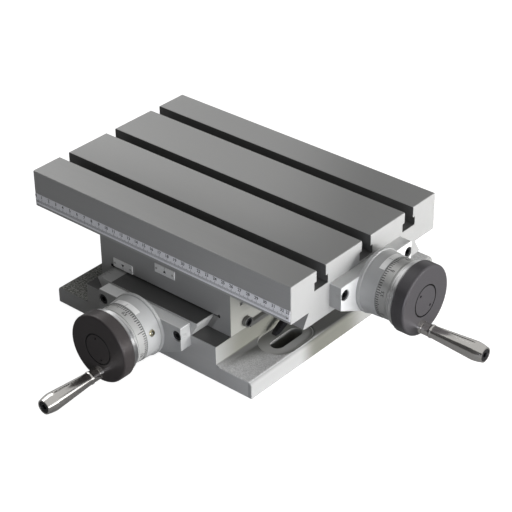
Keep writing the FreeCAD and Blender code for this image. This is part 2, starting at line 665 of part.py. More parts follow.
def make_saddle():
    body = new_body("saddle_casting")
    half = d.slide_width / 2
    section = sketch_on(body, "XY_Plane", "saddle_plan", d.ledge_height)
    outline(section, [(-half, saddle_front), (half, saddle_front), (half, saddle_back),
                      (-half, saddle_back)])
    pad(body, section, d.saddle_height, "saddle_block")

    # Lower groove, front to back: it grips the base, with room for the gib on the right.
    lower = sketch_on(body, "XZ_Plane", "lower_way")
    mouth = way_half - d.rail_height * lean
    corner = way_half + d.top_clearance * lean
    notch = d.relief_depth
    outline(lower, [
        (-mouth, d.ledge_height), (mouth, d.ledge_height), (corner - notch * lean, web_underside - notch),
        (corner + notch, web_underside - notch), (corner + notch, web_underside + notch),
        (corner - notch, web_underside + notch), (corner - notch, web_underside),
        (-(corner - notch), web_underside), (-(corner - notch), web_underside + notch),
        (-(corner + notch), web_underside + notch), (-(corner + notch), web_underside - notch),
        (-(corner - notch * lean), web_underside - notch)])
    cut(body, lower, "lower_groove", both_sides=True)

    # Upper groove, left to right: it takes the table's dovetail, with room for the gib behind.
    upper = sketch_on(body, "YZ_Plane", "upper_way")
    middle = d.saddle_rest
    top_mouth = table_way_half - d.table_rail * lean
    floor_corner = table_way_half + d.top_clearance * lean
    outline(upper, [
        (middle - top_mouth, saddle_top), (middle - (floor_corner - notch * lean), web_top + notch),
        (middle - (floor_corner + notch), web_top + notch),
        (middle - (floor_corner + notch), web_top - notch),
        (middle - (floor_corner - notch), web_top - notch), (middle - (floor_corner - notch), web_top),
        (middle + (floor_corner - notch), web_top), (middle + (floor_corner - notch), web_top - notch),
        (middle + (floor_corner + notch), web_top - notch),
        (middle + (floor_corner + notch), web_top + notch),
        (middle + (floor_corner - notch * lean), web_top + notch), (middle + top_mouth, saddle_top)])
    cut(body, upper, "upper_groove", both_sides=True)

    # Threads for the gib screws and the locking levers: right-hand cheek, then rear cheek.
    right = sketch_on(body, "YZ_Plane", "right_threads", half)
    for step in (-1, 0, 1):
        along = middle + d.gib_screw_shift_y + d.gib_screw_pitch_y * step
        circle(right, along, gib_middle_y, d.gib_screw_radius + d.seat_fit)
    circle(right, saddle_front + d.y_lever_inset, gib_middle_y, d.lever_screw_radius + d.seat_fit)
    cut(body, right, "right_thread_holes", half - mouth)
    rear = sketch_on(body, "XZ_Plane", "rear_threads", -saddle_back)
    for step in (-1, 0, 1):
        across = d.gib_screw_shift_x + d.gib_screw_pitch_x * step
        circle(rear, across, gib_middle_x, d.gib_screw_radius + d.seat_fit)
    circle(rear, half - d.x_lever_inset, gib_middle_x, d.lever_screw_radius + d.seat_fit)
    cut(body, rear, "rear_thread_holes", saddle_depth / 2 - top_mouth)

    # Threads in the web for the screws of both nuts.
    from_above = sketch_on(body, "XY_Plane", "upper_nut_threads", web_top)
    from_below = sketch_on(body, "XY_Plane", "lower_nut_threads", web_underside)
    half_pitch = d.nut_screw_pitch / 2
    for side in (-1, 1):
        circle(from_above, half_pitch * side, middle, d.nut_screw_radius + d.seat_fit)
        circle(from_below, 0, middle + half_pitch * side, d.nut_screw_radius + d.seat_fit)
    cut(body, from_above, "upper_nut_holes", d.nut_screw_grip + OVERRUN)
    cut(body, from_below, "lower_nut_holes", d.nut_screw_grip + OVERRUN)

    # Blind holes for the index plates' drive pins.
    pins = sketch_on(body, "XZ_Plane", "plate_pin_holes", -saddle_front)
    for across, rise in ((d.y_plate_across, d.y_plate_rise), (d.x_plate_across, d.x_plate_rise)):
        for side in (-0.5, 0.5):
            circle(pins, across + d.plate_pin_pitch * side, d.ledge_height + rise,
                   d.plate_pin_radius + d.seat_fit)
    cut(body, pins, "plate_pin_pockets", d.plate_pin_length)
    return node(body, "saddle_casting")


# Table

def make_table():
    body = new_body("table_casting")
    middle = d.saddle_rest
    half = d.table_width / 2
    rail_front = table_way_half - d.slide_clearance
    rail_back = table_way_half - gib_width - d.gib_gap * 2
    lean_in = d.table_rail * lean
    chamfer = d.rail_chamfer
    chamfer_in = chamfer * lean
    section = sketch_on(body, "YZ_Plane", "table_section", table_left)
    outline(section, [
        (middle - half, saddle_top), (middle - (rail_front - lean_in), saddle_top),
        (middle - (rail_front - chamfer_in), table_rail_bottom + chamfer),
        (middle - (rail_front - chamfer_in - chamfer), table_rail_bottom),
        (middle + (rail_back - chamfer_in - chamfer), table_rail_bottom),
        (middle + (rail_back - chamfer_in), table_rail_bottom + chamfer),
        (middle + (rail_back - lean_in), saddle_top), (middle + half, saddle_top),
        (middle + half, table_top), (middle - half, table_top)])
    pad(body, section, d.table_length, "table_block")

    def outer_edge(edge, point, box):
        top_rim = near(point.z, table_top) and box.ZLength < FLAT
        corner = box.ZLength > d.table_plate.value / 2 and near(abs(point.y - middle.value), half)
        return top_rim or corner

    dress(body, "PartDesign::Fillet", outer_edge, d.table_edge, "broken_edges")

    # One T-slot, repeated across the table.
    tee = sketch_on(body, "YZ_Plane", "tee_section", table_left)
    first = middle - d.tee_pitch
    neck = d.tee_neck / 2
    head = d.tee_head / 2
    shoulder = table_top - d.tee_neck_depth
    floor = shoulder - d.tee_head_depth
    outline(tee, [
        (first - neck, table_top + OVERRUN), (first - neck, shoulder), (first - head, shoulder),
        (first - head, floor), (first + head, floor), (first + head, shoulder),
        (first + neck, shoulder), (first + neck, table_top + OVERRUN)])
    slot = cut(body, tee, "tee_slot", d.table_length)
    pattern = body.newObject("PartDesign::LinearPattern", "tee_slots")
    pattern.Originals = [slot]
    across = next(item for item in body.Origin.OriginFeatures if item.Role == "Y_Axis")
    pattern.Direction = (across, [""])
    bind(pattern, "Length", d.tee_pitch * 2)
    pattern.Occurrences = 3
    body.Tip = pattern
    doc.recompute()

    # Channel for the screw and its nut, closed at the left end.
    channel = sketch_on(body, "YZ_Plane", "nut_channel_section", table_right)
    half_channel = d.nut_channel_width / 2
    roof = d.x_screw_height + d.nut_channel_roof
    outline(channel, [
        (middle - half_channel, table_rail_bottom - OVERRUN),
        (middle + half_channel, table_rail_bottom - OVERRUN),
        (middle + half_channel, roof), (middle - half_channel, roof)])
    cut(body, channel, "nut_channel", d.table_length - d.table_end_wall)

    threads = sketch_on(body, "YZ_Plane", "bracket_thread_outline", table_right)
    for side in (-1, 1):
        circle(threads, middle + d.bracket_screw_across * side, d.x_screw_height + d.bracket_screw_rise,
               d.bracket_screw_radius + d.seat_fit)
    cut(body, threads, "bracket_threads", d.bracket_screw_grip + OVERRUN)
    return node(body, "table_casting")


# Gibs, their screws and the locking levers

def make_gibs():
    lower = new_body("y_gib")
    inner = way_half - gib_width - d.gib_gap
    outer = way_half - d.gib_gap
    lean_in = d.rail_height * lean
    section = sketch_on(lower, "XZ_Plane", "gib_section", -saddle_front)
    low = d.ledge_height + d.gib_gap
    outline(section, [(inner - lean_in, low), (outer - lean_in, low), (outer, rail_top), (inner, rail_top)])
    pad(lower, section, saddle_depth, "gib_strip", backwards=True)
    node(lower, "y_gib")

    upper = new_body("x_gib")
    middle = d.saddle_rest
    inner = table_way_half - gib_width - d.gib_gap
    outer = table_way_half - d.gib_gap
    lean_in = d.table_rail * lean
    section = sketch_on(upper, "YZ_Plane", "gib_section", -d.slide_width / 2)
    high = saddle_top - d.gib_gap
    outline(section, [
        (middle + (inner - lean_in), high), (middle + (outer - lean_in), high),
        (middle + outer, table_rail_bottom), (middle + inner, table_rail_bottom)])
    pad(upper, section, d.slide_width, "gib_strip")
    node(upper, "x_gib")


RIGHT_FACE = Placement(Vector(d.slide_width.value / 2, 0, 0), Rotation(Vector(0, 0, 1), 90))
REAR_FACE = Placement(Vector(0, saddle_back.value, 0), Rotation(Vector(0, 0, 1), 180))


SOCKET_SHARE = 0.6      # a set screw's socket, as a share of the screw
HEXAGON_STEP = 60       # angle from one corner of a hexagon to the next


def make_gib_screws(axis, face_frame, places, depth):
    """Three socket set screws with lock nuts: places are local (across, up) points on the face."""
    screws = []
    nuts = []
    for number, (across, up) in enumerate(places, start=1):
        name = f"{axis}_gib_screw_{number}"
        start = face_frame.multiply(Placement(Vector(across, depth.value, up), FORWARD))
        rod = cylinder(d.gib_screw_radius, depth + d.gib_screw_proud, start, name + "_rod")
        socket_at = Vector(0, 0, (depth + d.gib_screw_proud - d.hex_depth).value)
        socket = hexagon(d.gib_screw_radius * SOCKET_SHARE, d.hex_depth + OVERRUN,
                         start.multiply(Placement(socket_at, Rotation())), name + "_socket")
        screws.append(less(rod, socket, name))
        on_face = face_frame.multiply(Placement(Vector(across, 0, up), FORWARD))
        nut = hexagon(d.lock_nut_radius, d.lock_nut_height, on_face, name + "_nut_body")
        hole = cylinder(d.gib_screw_radius + d.seat_fit, d.lock_nut_height, on_face, name + "_nut_hole")
        nuts.append(less(nut, hole, name + "_nut"))
    node(group(screws, f"{axis}_gib_screws"), f"{axis}_gib_screws")
    node(group(nuts, f"{axis}_gib_lock_nuts"), f"{axis}_gib_lock_nuts")


def make_lock(axis, face_frame, across, up, depth):
    """A locking lever: head, threaded shank and flat arm, with a brass plug ahead of it."""
    centre = face_frame.multiply(Placement(Vector(across, 0, up), Rotation()))
    body = new_body(f"{axis}_lock_screw", centre)
    shank_length = depth - d.lock_plug_length - d.stack_gap
    turn(body, [(-shank_length, 0), (-shank_length, d.lever_screw_radius), (0, d.lever_screw_radius),
                (d.seat_fit, d.lever_hub_radius), (d.lever_hub_proud - d.lever_edge, d.lever_hub_radius),
                (d.lever_hub_proud, d.lever_hub_radius - d.lever_edge), (d.lever_hub_proud, 0)], "lock_head")
    socket = sketch_on(body, "XZ_Plane", "socket_outline", d.lever_hub_proud)
    corner = d.hex_radius * cosine(as_size(HEXAGON_STEP))
    flat = d.hex_radius * sine(as_size(HEXAGON_STEP))
    outline(socket, [(d.hex_radius, 0), (corner, flat), (-corner, flat), (-d.hex_radius, 0),
                     (-corner, -flat), (corner, -flat)])
    cut(body, socket, "socket", d.hex_depth)
    node(body, f"{axis}_lock_screw")

    arm = new_body(f"{axis}_lock_arm", centre)
    plan = sketch_on(arm, "XZ_Plane", "arm_outline", d.lever_gap)
    low = -(d.lever_arm_drop + d.lever_arm_height / 2)
    high = -(d.lever_arm_drop - d.lever_arm_height / 2)
    outline(plan, [(d.lever_arm_start, low), (d.lever_arm_length, low), (d.lever_arm_length, high),
                   (d.lever_arm_start, high)])
    pad(arm, plan, d.lever_arm_thickness, "arm_bar")
    eye = sketch_on(arm, "XZ_Plane", "eye_outline", d.lever_gap)
    circle(eye, 0, 0, d.lever_hub_radius + d.lever_eye_wall)
    pad(arm, eye, d.lever_arm_thickness, "arm_eye")
    hole = sketch_on(arm, "XZ_Plane", "eye_hole", d.lever_gap)
    circle(hole, 0, 0, d.lever_hub_radius + d.seat_fit)
    cut(arm, hole, "arm_hole", d.lever_arm_thickness)
    node(arm, f"{axis}_lock_arm")


def make_lock_plug(axis, face_frame, across, up, depth, slope):
    """The plug's inner end leans like the gib's flank."""
    centre = face_frame.multiply(Placement(Vector(across, 0, up), Rotation()))
    plug = new_body(f"{axis}_lock_plug", centre)
    section = sketch_on(plug, "YZ_Plane", "plug_section")
    radius = d.lever_screw_radius
    outer = depth - d.lock_plug_length
    over = radius * lean * slope
    tip = depth - d.stack_gap
    outline(section, [(outer, -radius), (outer, radius), (tip + over, radius), (tip - over, -radius)])
    pad(plug, section, radius * 2, "plug_block", both_sides=True)
    round_off = sketch_on(plug, "XZ_Plane", "plug_round")
    circle(round_off, 0, 0, radius * 2)
    circle(round_off, 0, 0, radius - d.seat_fit)
    cut(plug, round_off, "plug_turned")
    node(plug, f"{axis}_lock_plug")


def make_clamping():
    """Gib screws and locking levers: the lower slide's on the right, the upper slide's behind."""
    half = d.slide_width / 2
    middle = d.saddle_rest
    reach = d.gib_screw_radius
    y_depth = half - (way_half - (d.rail_height / 2 - reach) * lean) - d.gib_gap
    y_places = [((middle + d.gib_screw_shift_y + d.gib_screw_pitch_y * step).value, gib_middle_y.value)
                for step in (-1, 0, 1)]
    make_gib_screws("y", RIGHT_FACE, y_places, y_depth)
    x_depth = saddle_depth / 2 - (table_way_half - (d.table_rail / 2 - reach) * lean) - d.gib_gap
    x_places = [(-(d.gib_screw_shift_x + d.gib_screw_pitch_x * step).value, gib_middle_x.value)
                for step in (-1, 0, 1)]
    make_gib_screws("x", REAR_FACE, x_places, x_depth)

    y_flank = half - (way_half - d.rail_height / 2 * lean)
    x_flank = saddle_depth / 2 - (table_way_half - d.table_rail / 2 * lean)
    y_across = (saddle_front + d.y_lever_inset).value
    x_across = -(half - d.x_lever_inset).value
    make_lock("y", RIGHT_FACE, y_across, gib_middle_y.value, y_flank)
    make_lock("x", REAR_FACE, x_across, gib_middle_x.value, x_flank)
    make_lock_plug("y", RIGHT_FACE, y_across, gib_middle_y.value, y_flank, -1)
    make_lock_plug("x", REAR_FACE, x_across, gib_middle_x.value, x_flank, 1)


# Nuts

def make_nut(axis, face_height, screw_height, upwards):
    """A bronze nut with a foot that two screws hold to the saddle's web."""
    along = Vector(0, 1, 0) if axis == "y" else Vector(1, 0, 0)
    body = new_body(f"{axis}_nut", Placement(Vector(0, d.saddle_rest.value, 0), Rotation()))
    role = "YZ_Plane" if axis == "y" else "XZ_Plane"
    section = sketch_on(body, role, "nut_side")
    foot = face_height + (d.nut_foot_height if upwards else -d.nut_foot_height)
    far = screw_height + (d.nut_cover if upwards else -d.nut_cover)
    half_foot = d.nut_foot_length / 2
    half = d.nut_length / 2
    outline(section, [(-half_foot, face_height), (half_foot, face_height), (half_foot, foot), (half, foot),
                      (half, far), (-half, far), (-half, foot), (-half_foot, foot)])
    pad(body, section, d.nut_width, "nut_block", both_sides=True)
    bore = sketch_on(body, "XZ_Plane" if axis == "y" else "YZ_Plane", "nut_bore")
    circle(bore, 0, screw_height, d.screw_radius + d.thread_clearance)
    cut(body, bore, "thread_bore", both_sides=True)
    holes = sketch_on(body, "XY_Plane", "nut_screw_holes", face_height)
    counterbores = sketch_on(body, "XY_Plane", "nut_head_holes", foot)
    half_pitch = d.nut_screw_pitch / 2
    for side in (-1, 1):
        shift = half_pitch * side
        place = (0, shift) if axis == "y" else (shift, 0)
        circle(holes, place[0], place[1], d.nut_screw_radius + d.bolt_clearance)
        circle(counterbores, place[0], place[1], d.nut_head_radius + d.bolt_clearance)
    cut(body, counterbores, "nut_head_pockets", d.nut_head_height)
    cut(body, holes, "nut_screw_bores", d.nut_foot_height)
    node(body, f"{axis}_nut")

    up = Rotation() if upwards else Rotation(Vector(1, 0, 0), 180)
    under_head = foot - d.nut_head_height if upwards else foot + d.nut_head_height
    length = d.nut_foot_height - d.nut_head_height + d.nut_screw_grip
    screws = []
    for side in (-1, 1):
        at = along * (side * half_pitch.value) + Vector(0, d.saddle_rest.value, under_head.value)
        screws.append(cap_screw(Placement(), at, d.nut_screw_radius, length, d.nut_head_radius,
                                d.nut_head_height, f"{axis}_nut_screw_{side + 2}", up))
    node(group(screws, f"{axis}_nut_screws"), f"{axis}_nut_screws")


# Screw bracket

ROUND_SHARE = 0.9       # the plate's round foot starts this far down the boss's radius


def make_bracket(axis):
    """Bearing bracket: a plate with dropped shoulders, and a tapered boss that holds the bearings."""
    frame = FRAMES[axis]
    body = new_body(f"{axis}_bracket", frame)
    half = d.bracket_width / 2
    plate = sketch_on(body, "XZ_Plane", "plate_outline")
    radius = d.boss_radius
    corner = math.hypot(half.value, d.bracket_drop.value)
    below = math.degrees(math.acos(radius.value / corner) + math.atan2(d.bracket_drop.value, half.value))
    touch = math.radians(-below)
    touching = Vector(radius.value * math.cos(touch), radius.value * math.sin(touch), 0)
    mirror = Vector(-touching.x, touching.y, 0)
    corners = [Vector(-half.value, d.bracket_rise.value, 0), Vector(-half.value, -d.bracket_drop.value, 0),
               Vector(half.value, -d.bracket_drop.value, 0), Vector(half.value, d.bracket_rise.value, 0)]
    top = plate.addGeometry(Part.LineSegment(corners[3], corners[0]), False)
    left = plate.addGeometry(Part.LineSegment(corners[0], corners[1]), False)
    left_slope = plate.addGeometry(Part.LineSegment(corners[1], mirror), False)
    ring = Part.Circle(Vector(0, 0, 0), Vector(0, 0, 1), radius.value)
    round_foot = plate.addGeometry(Part.ArcOfCircle(ring, math.pi - touch, 2 * math.pi + touch), False)
    right_slope = plate.addGeometry(Part.LineSegment(touching, corners[2]), False)
    right = plate.addGeometry(Part.LineSegment(corners[2], corners[3]), False)
    for one, other in ((top, left), (left, left_slope), (right_slope, right), (right, top)):
        plate.addConstraint(Sketcher.Constraint("Coincident", one, END, other, START))
    plate.addConstraint(Sketcher.Constraint("Coincident", round_foot, CENTRE, AXES, 1))
    plate.addConstraint(Sketcher.Constraint("Tangent", left_slope, END, round_foot, START))
    plate.addConstraint(Sketcher.Constraint("Tangent", round_foot, END, right_slope, START))
    rule = plate.addConstraint(Sketcher.Constraint("Radius", round_foot, radius.value))
    bind(plate, f"Constraints[{rule}]", radius)
    fix_point(plate, left, START, -half, d.bracket_rise)
    fix_point(plate, left, END, -half, -d.bracket_drop)
    fix_point(plate, right, START, half, -d.bracket_drop)
    fix_point(plate, right, END, half, d.bracket_rise)
    pad(body, plate, d.bracket_thickness, "plate")

    def front_corner(edge, middle, box):
        on_front = near(middle.y, -d.bracket_thickness) and box.YLength < FLAT
        upright = near(abs(middle.x), half) and box.YLength > d.bracket_thickness.value / 2
        return on_front and middle.z > -radius.value * ROUND_SHARE or upright

    dress(body, "PartDesign::Fillet", front_corner, d.bracket_edge, "plate_edges")

    # The boss rises above the plate, and a fillet leads up to it from the plate's top.
    rise = d.bracket_rise
    fillet = d.boss_fillet
    boss = sketch_on(body, "YZ_Plane", "boss_profile")
    front = d.bracket_thickness
    collar_radius = radius + d.boss_collar
    collar_end = front + d.boss_collar_length
    points = [(-(front - fillet), rise), (-front, rise + fillet), (-front, collar_radius),
              (-collar_end, collar_radius), (-(collar_end + d.boss_step), radius),
              (-boss_mouth, d.boss_mouth_radius), (-boss_mouth, as_size(0)), (-(front - fillet), as_size(0))]
    spots = [Vector(u.value, v.value, 0) for u, v in points]
    centre = Vector(-(front - fillet).value, (rise + fillet).value, 0)
    hollow = Part.ArcOfCircle(Part.Circle(centre, Vector(0, 0, 1), fillet.value), math.pi, 1.5 * math.pi)
    arc = boss.addGeometry(hollow, False)
    lines = [boss.addGeometry(Part.LineSegment(spots[k], spots[(k + 1) % len(spots)]), False)
             for k in range(1, len(spots))]
    boss.addConstraint(Sketcher.Constraint("Coincident", arc, START, lines[0], START))
    boss.addConstraint(Sketcher.Constraint("Coincident", lines[-1], END, arc, END))
    for one, other in zip(lines, lines[1:]):
        boss.addConstraint(Sketcher.Constraint("Coincident", one, END, other, START))
    fix_point(boss, arc, CENTRE, -(front - fillet), rise + fillet)
    for line, (u, v) in zip(lines, points[1:]):
        fix_point(boss, line, START, u, v)
    rule = boss.addConstraint(Sketcher.Constraint("DistanceX", AXES, 1, arc, END, spots[0].x))
    bind(boss, f"Constraints[{rule}]", -(front - fillet))
    feature = body.newObject("PartDesign::Revolution", "boss")
    feature.Profile = boss
    feature.ReferenceAxis = (boss, ["H_Axis"])
    feature.Angle = 360
    doc.recompute()

    # Bearing housing, with its shoulder and the groove of the retaining ring.
    seat = d.bearing_radius + d.seat_fit
    ring_end = snap_ring_start + d.snap_ring_width
    groove = seat + d.snap_ring_depth
    turn(body, [(-OVERRUN, 0), (-OVERRUN, d.housing_bore), (d.bearing_shoulder, d.housing_bore),
                (d.bearing_shoulder, seat), (snap_ring_start, seat), (snap_ring_start, groove),
                (ring_end, groove), (ring_end, seat), (boss_mouth + OVERRUN, seat),
                (boss_mouth + OVERRUN, 0)], "housing", cutting=True)

    holes = sketch_on(body, "XZ_Plane", "screw_holes")
    counterbores = sketch_on(body, "XZ_Plane", "counterbores", d.bracket_thickness)
    for side in (-1, 1):
        across = d.bracket_screw_across * side
        circle(holes, across, d.bracket_screw_rise, d.bracket_screw_radius + d.bolt_clearance)
        circle(counterbores, across, d.bracket_screw_rise, d.bracket_head_radius + d.counterbore_clearance)
    cut(body, counterbores, "head_pockets", d.bracket_head_height + d.bracket_head_sink)
    cut(body, holes, "screw_bores", d.bracket_thickness)

    # Hole for the ball oiler, drilled square to the boss.
    oiler_sketch = body.newObject("Sketcher::SketchObject", "oiler_hole")
    circle(oiler_sketch, -d.oiler_station, 0, d.oiler_radius + d.seat_fit)
    turned = Rotation(Vector(0, 1, 0), -d.oiler_angle.value)
    hole_floor = d.boss_radius - d.oiler_depth
    oiler_sketch.Placement = Placement(turned.multVec(Vector(hole_floor.value, 0, 0)),
                                       turned.multiply(Rotation(Vector(1, 1, 1), 120)))
    cut(body, oiler_sketch, "oiler_bore", d.oiler_depth * 2, along_normal=True)
    node(body, f"{axis}_bracket")

    screws = []
    under_head = d.bracket_thickness - d.bracket_head_sink - d.bracket_head_height
    for side in (-1, 1):
        at = Vector(side * d.bracket_screw_across.value, -under_head.value, d.bracket_screw_rise.value)
        screws.append(cap_screw(frame, at, d.bracket_screw_radius, under_head + d.bracket_screw_grip,
                                d.bracket_head_radius, d.bracket_head_height,
                                f"{axis}_bracket_screw_{side + 2}"))
    node(group(screws, f"{axis}_bracket_screws"), f"{axis}_bracket_screws")

    ring = new_body(f"{axis}_retaining_ring", frame)
    ring_inner = seat - d.snap_ring_rim
    ring_outer = groove - d.snap_ring_play
    back = snap_ring_start + d.snap_ring_play
    ahead = ring_end - d.snap_ring_play
    turn(ring, [(back, ring_inner), (back, ring_outer), (ahead, ring_outer), (ahead, ring_inner)],
         "snap_ring")
    node(ring, f"{axis}_retaining_ring")

    # The oiler is drawn upright and leaned over to its hole.
    foot = turned.multVec(Vector(hole_floor.value, -d.oiler_station.value, 0))
    oiler_place = frame.multiply(Placement(foot, turned.multiply(Rotation(Vector(0, 0, 1), 90))))
    oiler = new_body(f"{axis}_oiler_body", oiler_place)
    top = d.oiler_depth + d.oiler_proud
    ball = d.oiler_ball_radius
    oil_hole = d.oiler_hole_radius
    chamber = ball + d.stack_gap
    chamber_floor = top - d.oiler_chamber
    turn(oiler, [(d.stack_gap, oil_hole), (d.stack_gap, d.oiler_radius), (d.oiler_depth, d.oiler_radius),
                 (top, d.oiler_radius - d.oiler_proud), (top, d.oiler_mouth_radius),
                 (top - d.oiler_lip, chamber), (chamber_floor, chamber), (chamber_floor, oil_hole)],
         "oiler_sleeve")
    node(oiler, f"{axis}_oiler_body")
    bead = doc.addObject("Part::Sphere", f"{axis}_oiler_ball")
    bind(bead, "Radius", ball)
    ball_at = Vector(0, -(top - d.oiler_ball_depth).value, 0)
    bead.Placement = oiler_place.multiply(Placement(ball_at, Rotation()))
    node(bead, f"{axis}_oiler_ball")


def make_bearings(axis):
    """Two shielded ball bearings: outer rings stay in the bracket, inner rings turn with the screw."""
    frame = FRAMES[axis]
    outer = []
    inner = []
    for number in (0, 1):
        start = d.bearing_shoulder + d.bearing_step * number
        place = frame.multiply(Placement(Vector(0, -start.value, 0), FORWARD))
        race = cylinder(d.bearing_radius, d.bearing_width, place, f"{axis}_outer_{number}_disc")
        race_hole = cylinder(d.bearing_radius - d.bearing_race, d.bearing_width, place,
                             f"{axis}_outer_{number}_hole")
        outer.append(less(race, race_hole, f"{axis}_outer_{number}"))
        hub = cylinder(d.bearing_bore + d.bearing_hub, d.bearing_width, place, f"{axis}_inner_{number}_disc")
        hub_hole = cylinder(d.bearing_bore + d.seat_fit, d.bearing_width, place,
                            f"{axis}_inner_{number}_hole")
        inner.append(less(hub, hub_hole, f"{axis}_inner_{number}"))
    node(group(outer, f"{axis}_bearing_outer_rings"), f"{axis}_bearing_outer_rings")
    node(group(inner, f"{axis}_bearing_inner_rings"), f"{axis}_bearing_inner_rings")


# Screw, dial, handwheel and handle

def keyway(body, low, high, name):
    """A keyway cut lengthways, from one height above the axis to another."""
    section = sketch_on(body, "XZ_Plane", name + "_outline", d.key_start)
    half = d.key_width / 2 + d.seat_fit
    outline(section, [(-half, low), (half, low), (half, high), (-half, high)])
    feature = body.newObject("PartDesign::Pocket", name)
    feature.Profile = section
    feature.SideType = "One side"
    feature.Reversed = True
    bind(feature, "Length", d.key_length)
    doc.recompute()
    return feature


def make_screw(axis, reach):
    """Lead screw: plain over its thread, with collar, bearing journal and threaded end."""
    frame = FRAMES[axis]
    body = new_body(f"{axis}_screw", frame)
    collar_end = d.bearing_shoulder
    collar_start = collar_end - d.collar_length
    thread_end = end_nut_start + d.end_nut_height
    bevel = d.screw_end_bevel
    turn(body, [(-reach, 0), (-reach, d.screw_radius - bevel), (bevel - reach, d.screw_radius),
                (collar_start, d.screw_radius), (collar_start, d.collar_radius),
                (collar_end, d.collar_radius), (collar_end, d.bearing_bore),
                (end_nut_start, d.bearing_bore), (end_nut_start, d.end_thread_radius),
                (thread_end, d.end_thread_radius), (thread_end, 0)], "screw")
    keyway(body, d.bearing_bore - d.key_height / 2, d.bearing_bore + OVERRUN, "keyway")
    node(body, f"{axis}_screw")

    half_key = d.key_height / 2
    at = Vector(0, -d.key_start.value, (d.bearing_bore - half_key).value)
    key = block(d.key_width, d.key_length, d.key_height, frame.multiply(
        Placement(at - Vector(0, d.key_length.value / 2, 0), Rotation())), f"{axis}_drive_key")
    node(key, f"{axis}_drive_key")


def make_dial(axis):
    """Dial hub with its two polished rings, and the dial that turns on it to be set to zero."""
    frame = FRAMES[axis]
    bore = d.bearing_bore + d.seat_fit
    nose_start = bearings_end + d.stack_gap
    nose = d.bearing_bore + d.hub_wall
    flange_end = hub_start + d.hub_flange_width
    ring_end = hub_start + d.hub_ring_width
    groove_end = ring_end + d.hub_groove_width
    groove = d.hub_ring_radius - d.hub_groove
    flange = d.hub_flange_radius
    hub = new_body(f"{axis}_dial_hub", frame)
    turn(hub, [(nose_start, bore), (nose_start, nose), (dial_start, nose), (dial_start, d.dial_seat_radius),
               (hub_start, d.dial_seat_radius), (hub_start, d.hub_ring_radius),
               (ring_end, d.hub_ring_radius), (ring_end, groove), (groove_end, groove),
               (groove_end, flange - d.hub_edge), (groove_end + d.hub_edge, flange),
               (flange_end - d.hub_round, flange), (flange_end, flange - d.hub_round),
               (flange_end, bore)], "hub")
    keyway(hub, d.bearing_bore - OVERRUN, d.bearing_bore + d.key_height / 2 + d.stack_gap, "keyway")
    node(hub, f"{axis}_dial_hub")

    dial = new_body(f"{axis}_dial_ring", frame)
    end = dial_start + d.dial_width
    inner = d.dial_seat_radius + d.running_fit
    ahead = end - d.dial_groove_setback
    floor_end = ahead - d.dial_groove_slope
    floor_start = floor_end - d.dial_groove_width
    back = floor_start - d.dial_groove_slope
    floor = d.dial_radius - d.dial_groove
    turn(dial, [(dial_start, inner), (dial_start, d.dial_radius), (back, d.dial_radius),
                (floor_start, floor), (floor_end, floor), (ahead, d.dial_radius),
                (end - d.dial_edge, d.dial_radius), (end, d.dial_radius - d.dial_edge),
                (end, inner)], "dial")
    node(dial, f"{axis}_dial_ring")


def handle_point(axis):
    angle = math.radians(HANDLE_ANGLES[axis].value)
    radius = d.handle_circle.value
    return Vector(radius * math.cos(angle), 0, radius * math.sin(angle))


def make_handwheel(axis):
    """Plain disc handwheel with a capped hub."""
    frame = FRAMES[axis]
    bore = d.bearing_bore + d.seat_fit
    wheel = new_body(f"{axis}_handwheel", frame)
    pocket = d.cap_radius + d.cap_gap
    back_edge = d.wheel_edge / 2
    turn(wheel, [(wheel_start, bore), (wheel_start, d.wheel_radius - back_edge),
                 (wheel_start + back_edge, d.wheel_radius), (wheel_face, d.wheel_radius),
                 (wheel_face, pocket), (recess_floor, pocket), (recess_floor, bore)], "wheel")

    def rim(edge, middle, box):
        return near(middle.y, -wheel_face) and near(box.XLength, d.wheel_radius * 2)

    dress(wheel, "PartDesign::Fillet", rim, d.wheel_edge, "rim")
    keyway(wheel, d.bearing_bore - OVERRUN, d.bearing_bore + d.key_height / 2 + d.stack_gap, "keyway")
    hole = sketch_on(wheel, "XZ_Plane", "stud_hole", wheel_face)
    angle = HANDLE_ANGLES[axis]
    circle(hole, d.handle_circle * cosine(angle), d.handle_circle * sine(angle), d.stud_root_radius)
    cut(wheel, hole, "stud_bore", d.stud_root_length + OVERRUN)
    node(wheel, f"{axis}_handwheel")

    cap = new_body(f"{axis}_hub_cap", frame)
    cap_back = wheel_face - d.cap_thickness
    turn(cap, [(cap_back, 0), (cap_back, d.cap_radius), (wheel_face - d.cap_edge, d.cap_radius),
               (wheel_face, d.cap_radius - d.cap_edge), (wheel_face, 0)], "cap")
    holes = sketch_on(cap, "XZ_Plane", "spanner_holes", wheel_face)
    tilt = PIN_HOLE_ANGLES[axis]
    for side in (-1, 1):
        reach = d.pin_hole_circle * side
        circle(holes, reach * cosine(tilt), reach * sine(tilt), d.pin_hole_radius)
    cut(cap, holes, "spanner_bores", d.pin_hole_depth)
    node(cap, f"{axis}_hub_cap")

    place = frame.multiply(Placement(Vector(0, -end_nut_start.value, 0), FORWARD))
    nut = hexagon(d.end_nut_radius, d.end_nut_height, place, f"{axis}_end_nut_body")
    nut_hole = cylinder(d.end_thread_radius + d.seat_fit, d.end_nut_height, place, f"{axis}_end_nut_hole")
    node(less(nut, nut_hole, f"{axis}_end_nut"), f"{axis}_end_nut")


GRIP_STEPS = 5          # steps in the rounding at the grip's end
QUARTER_TURN = 90       # angle that the rounding goes through


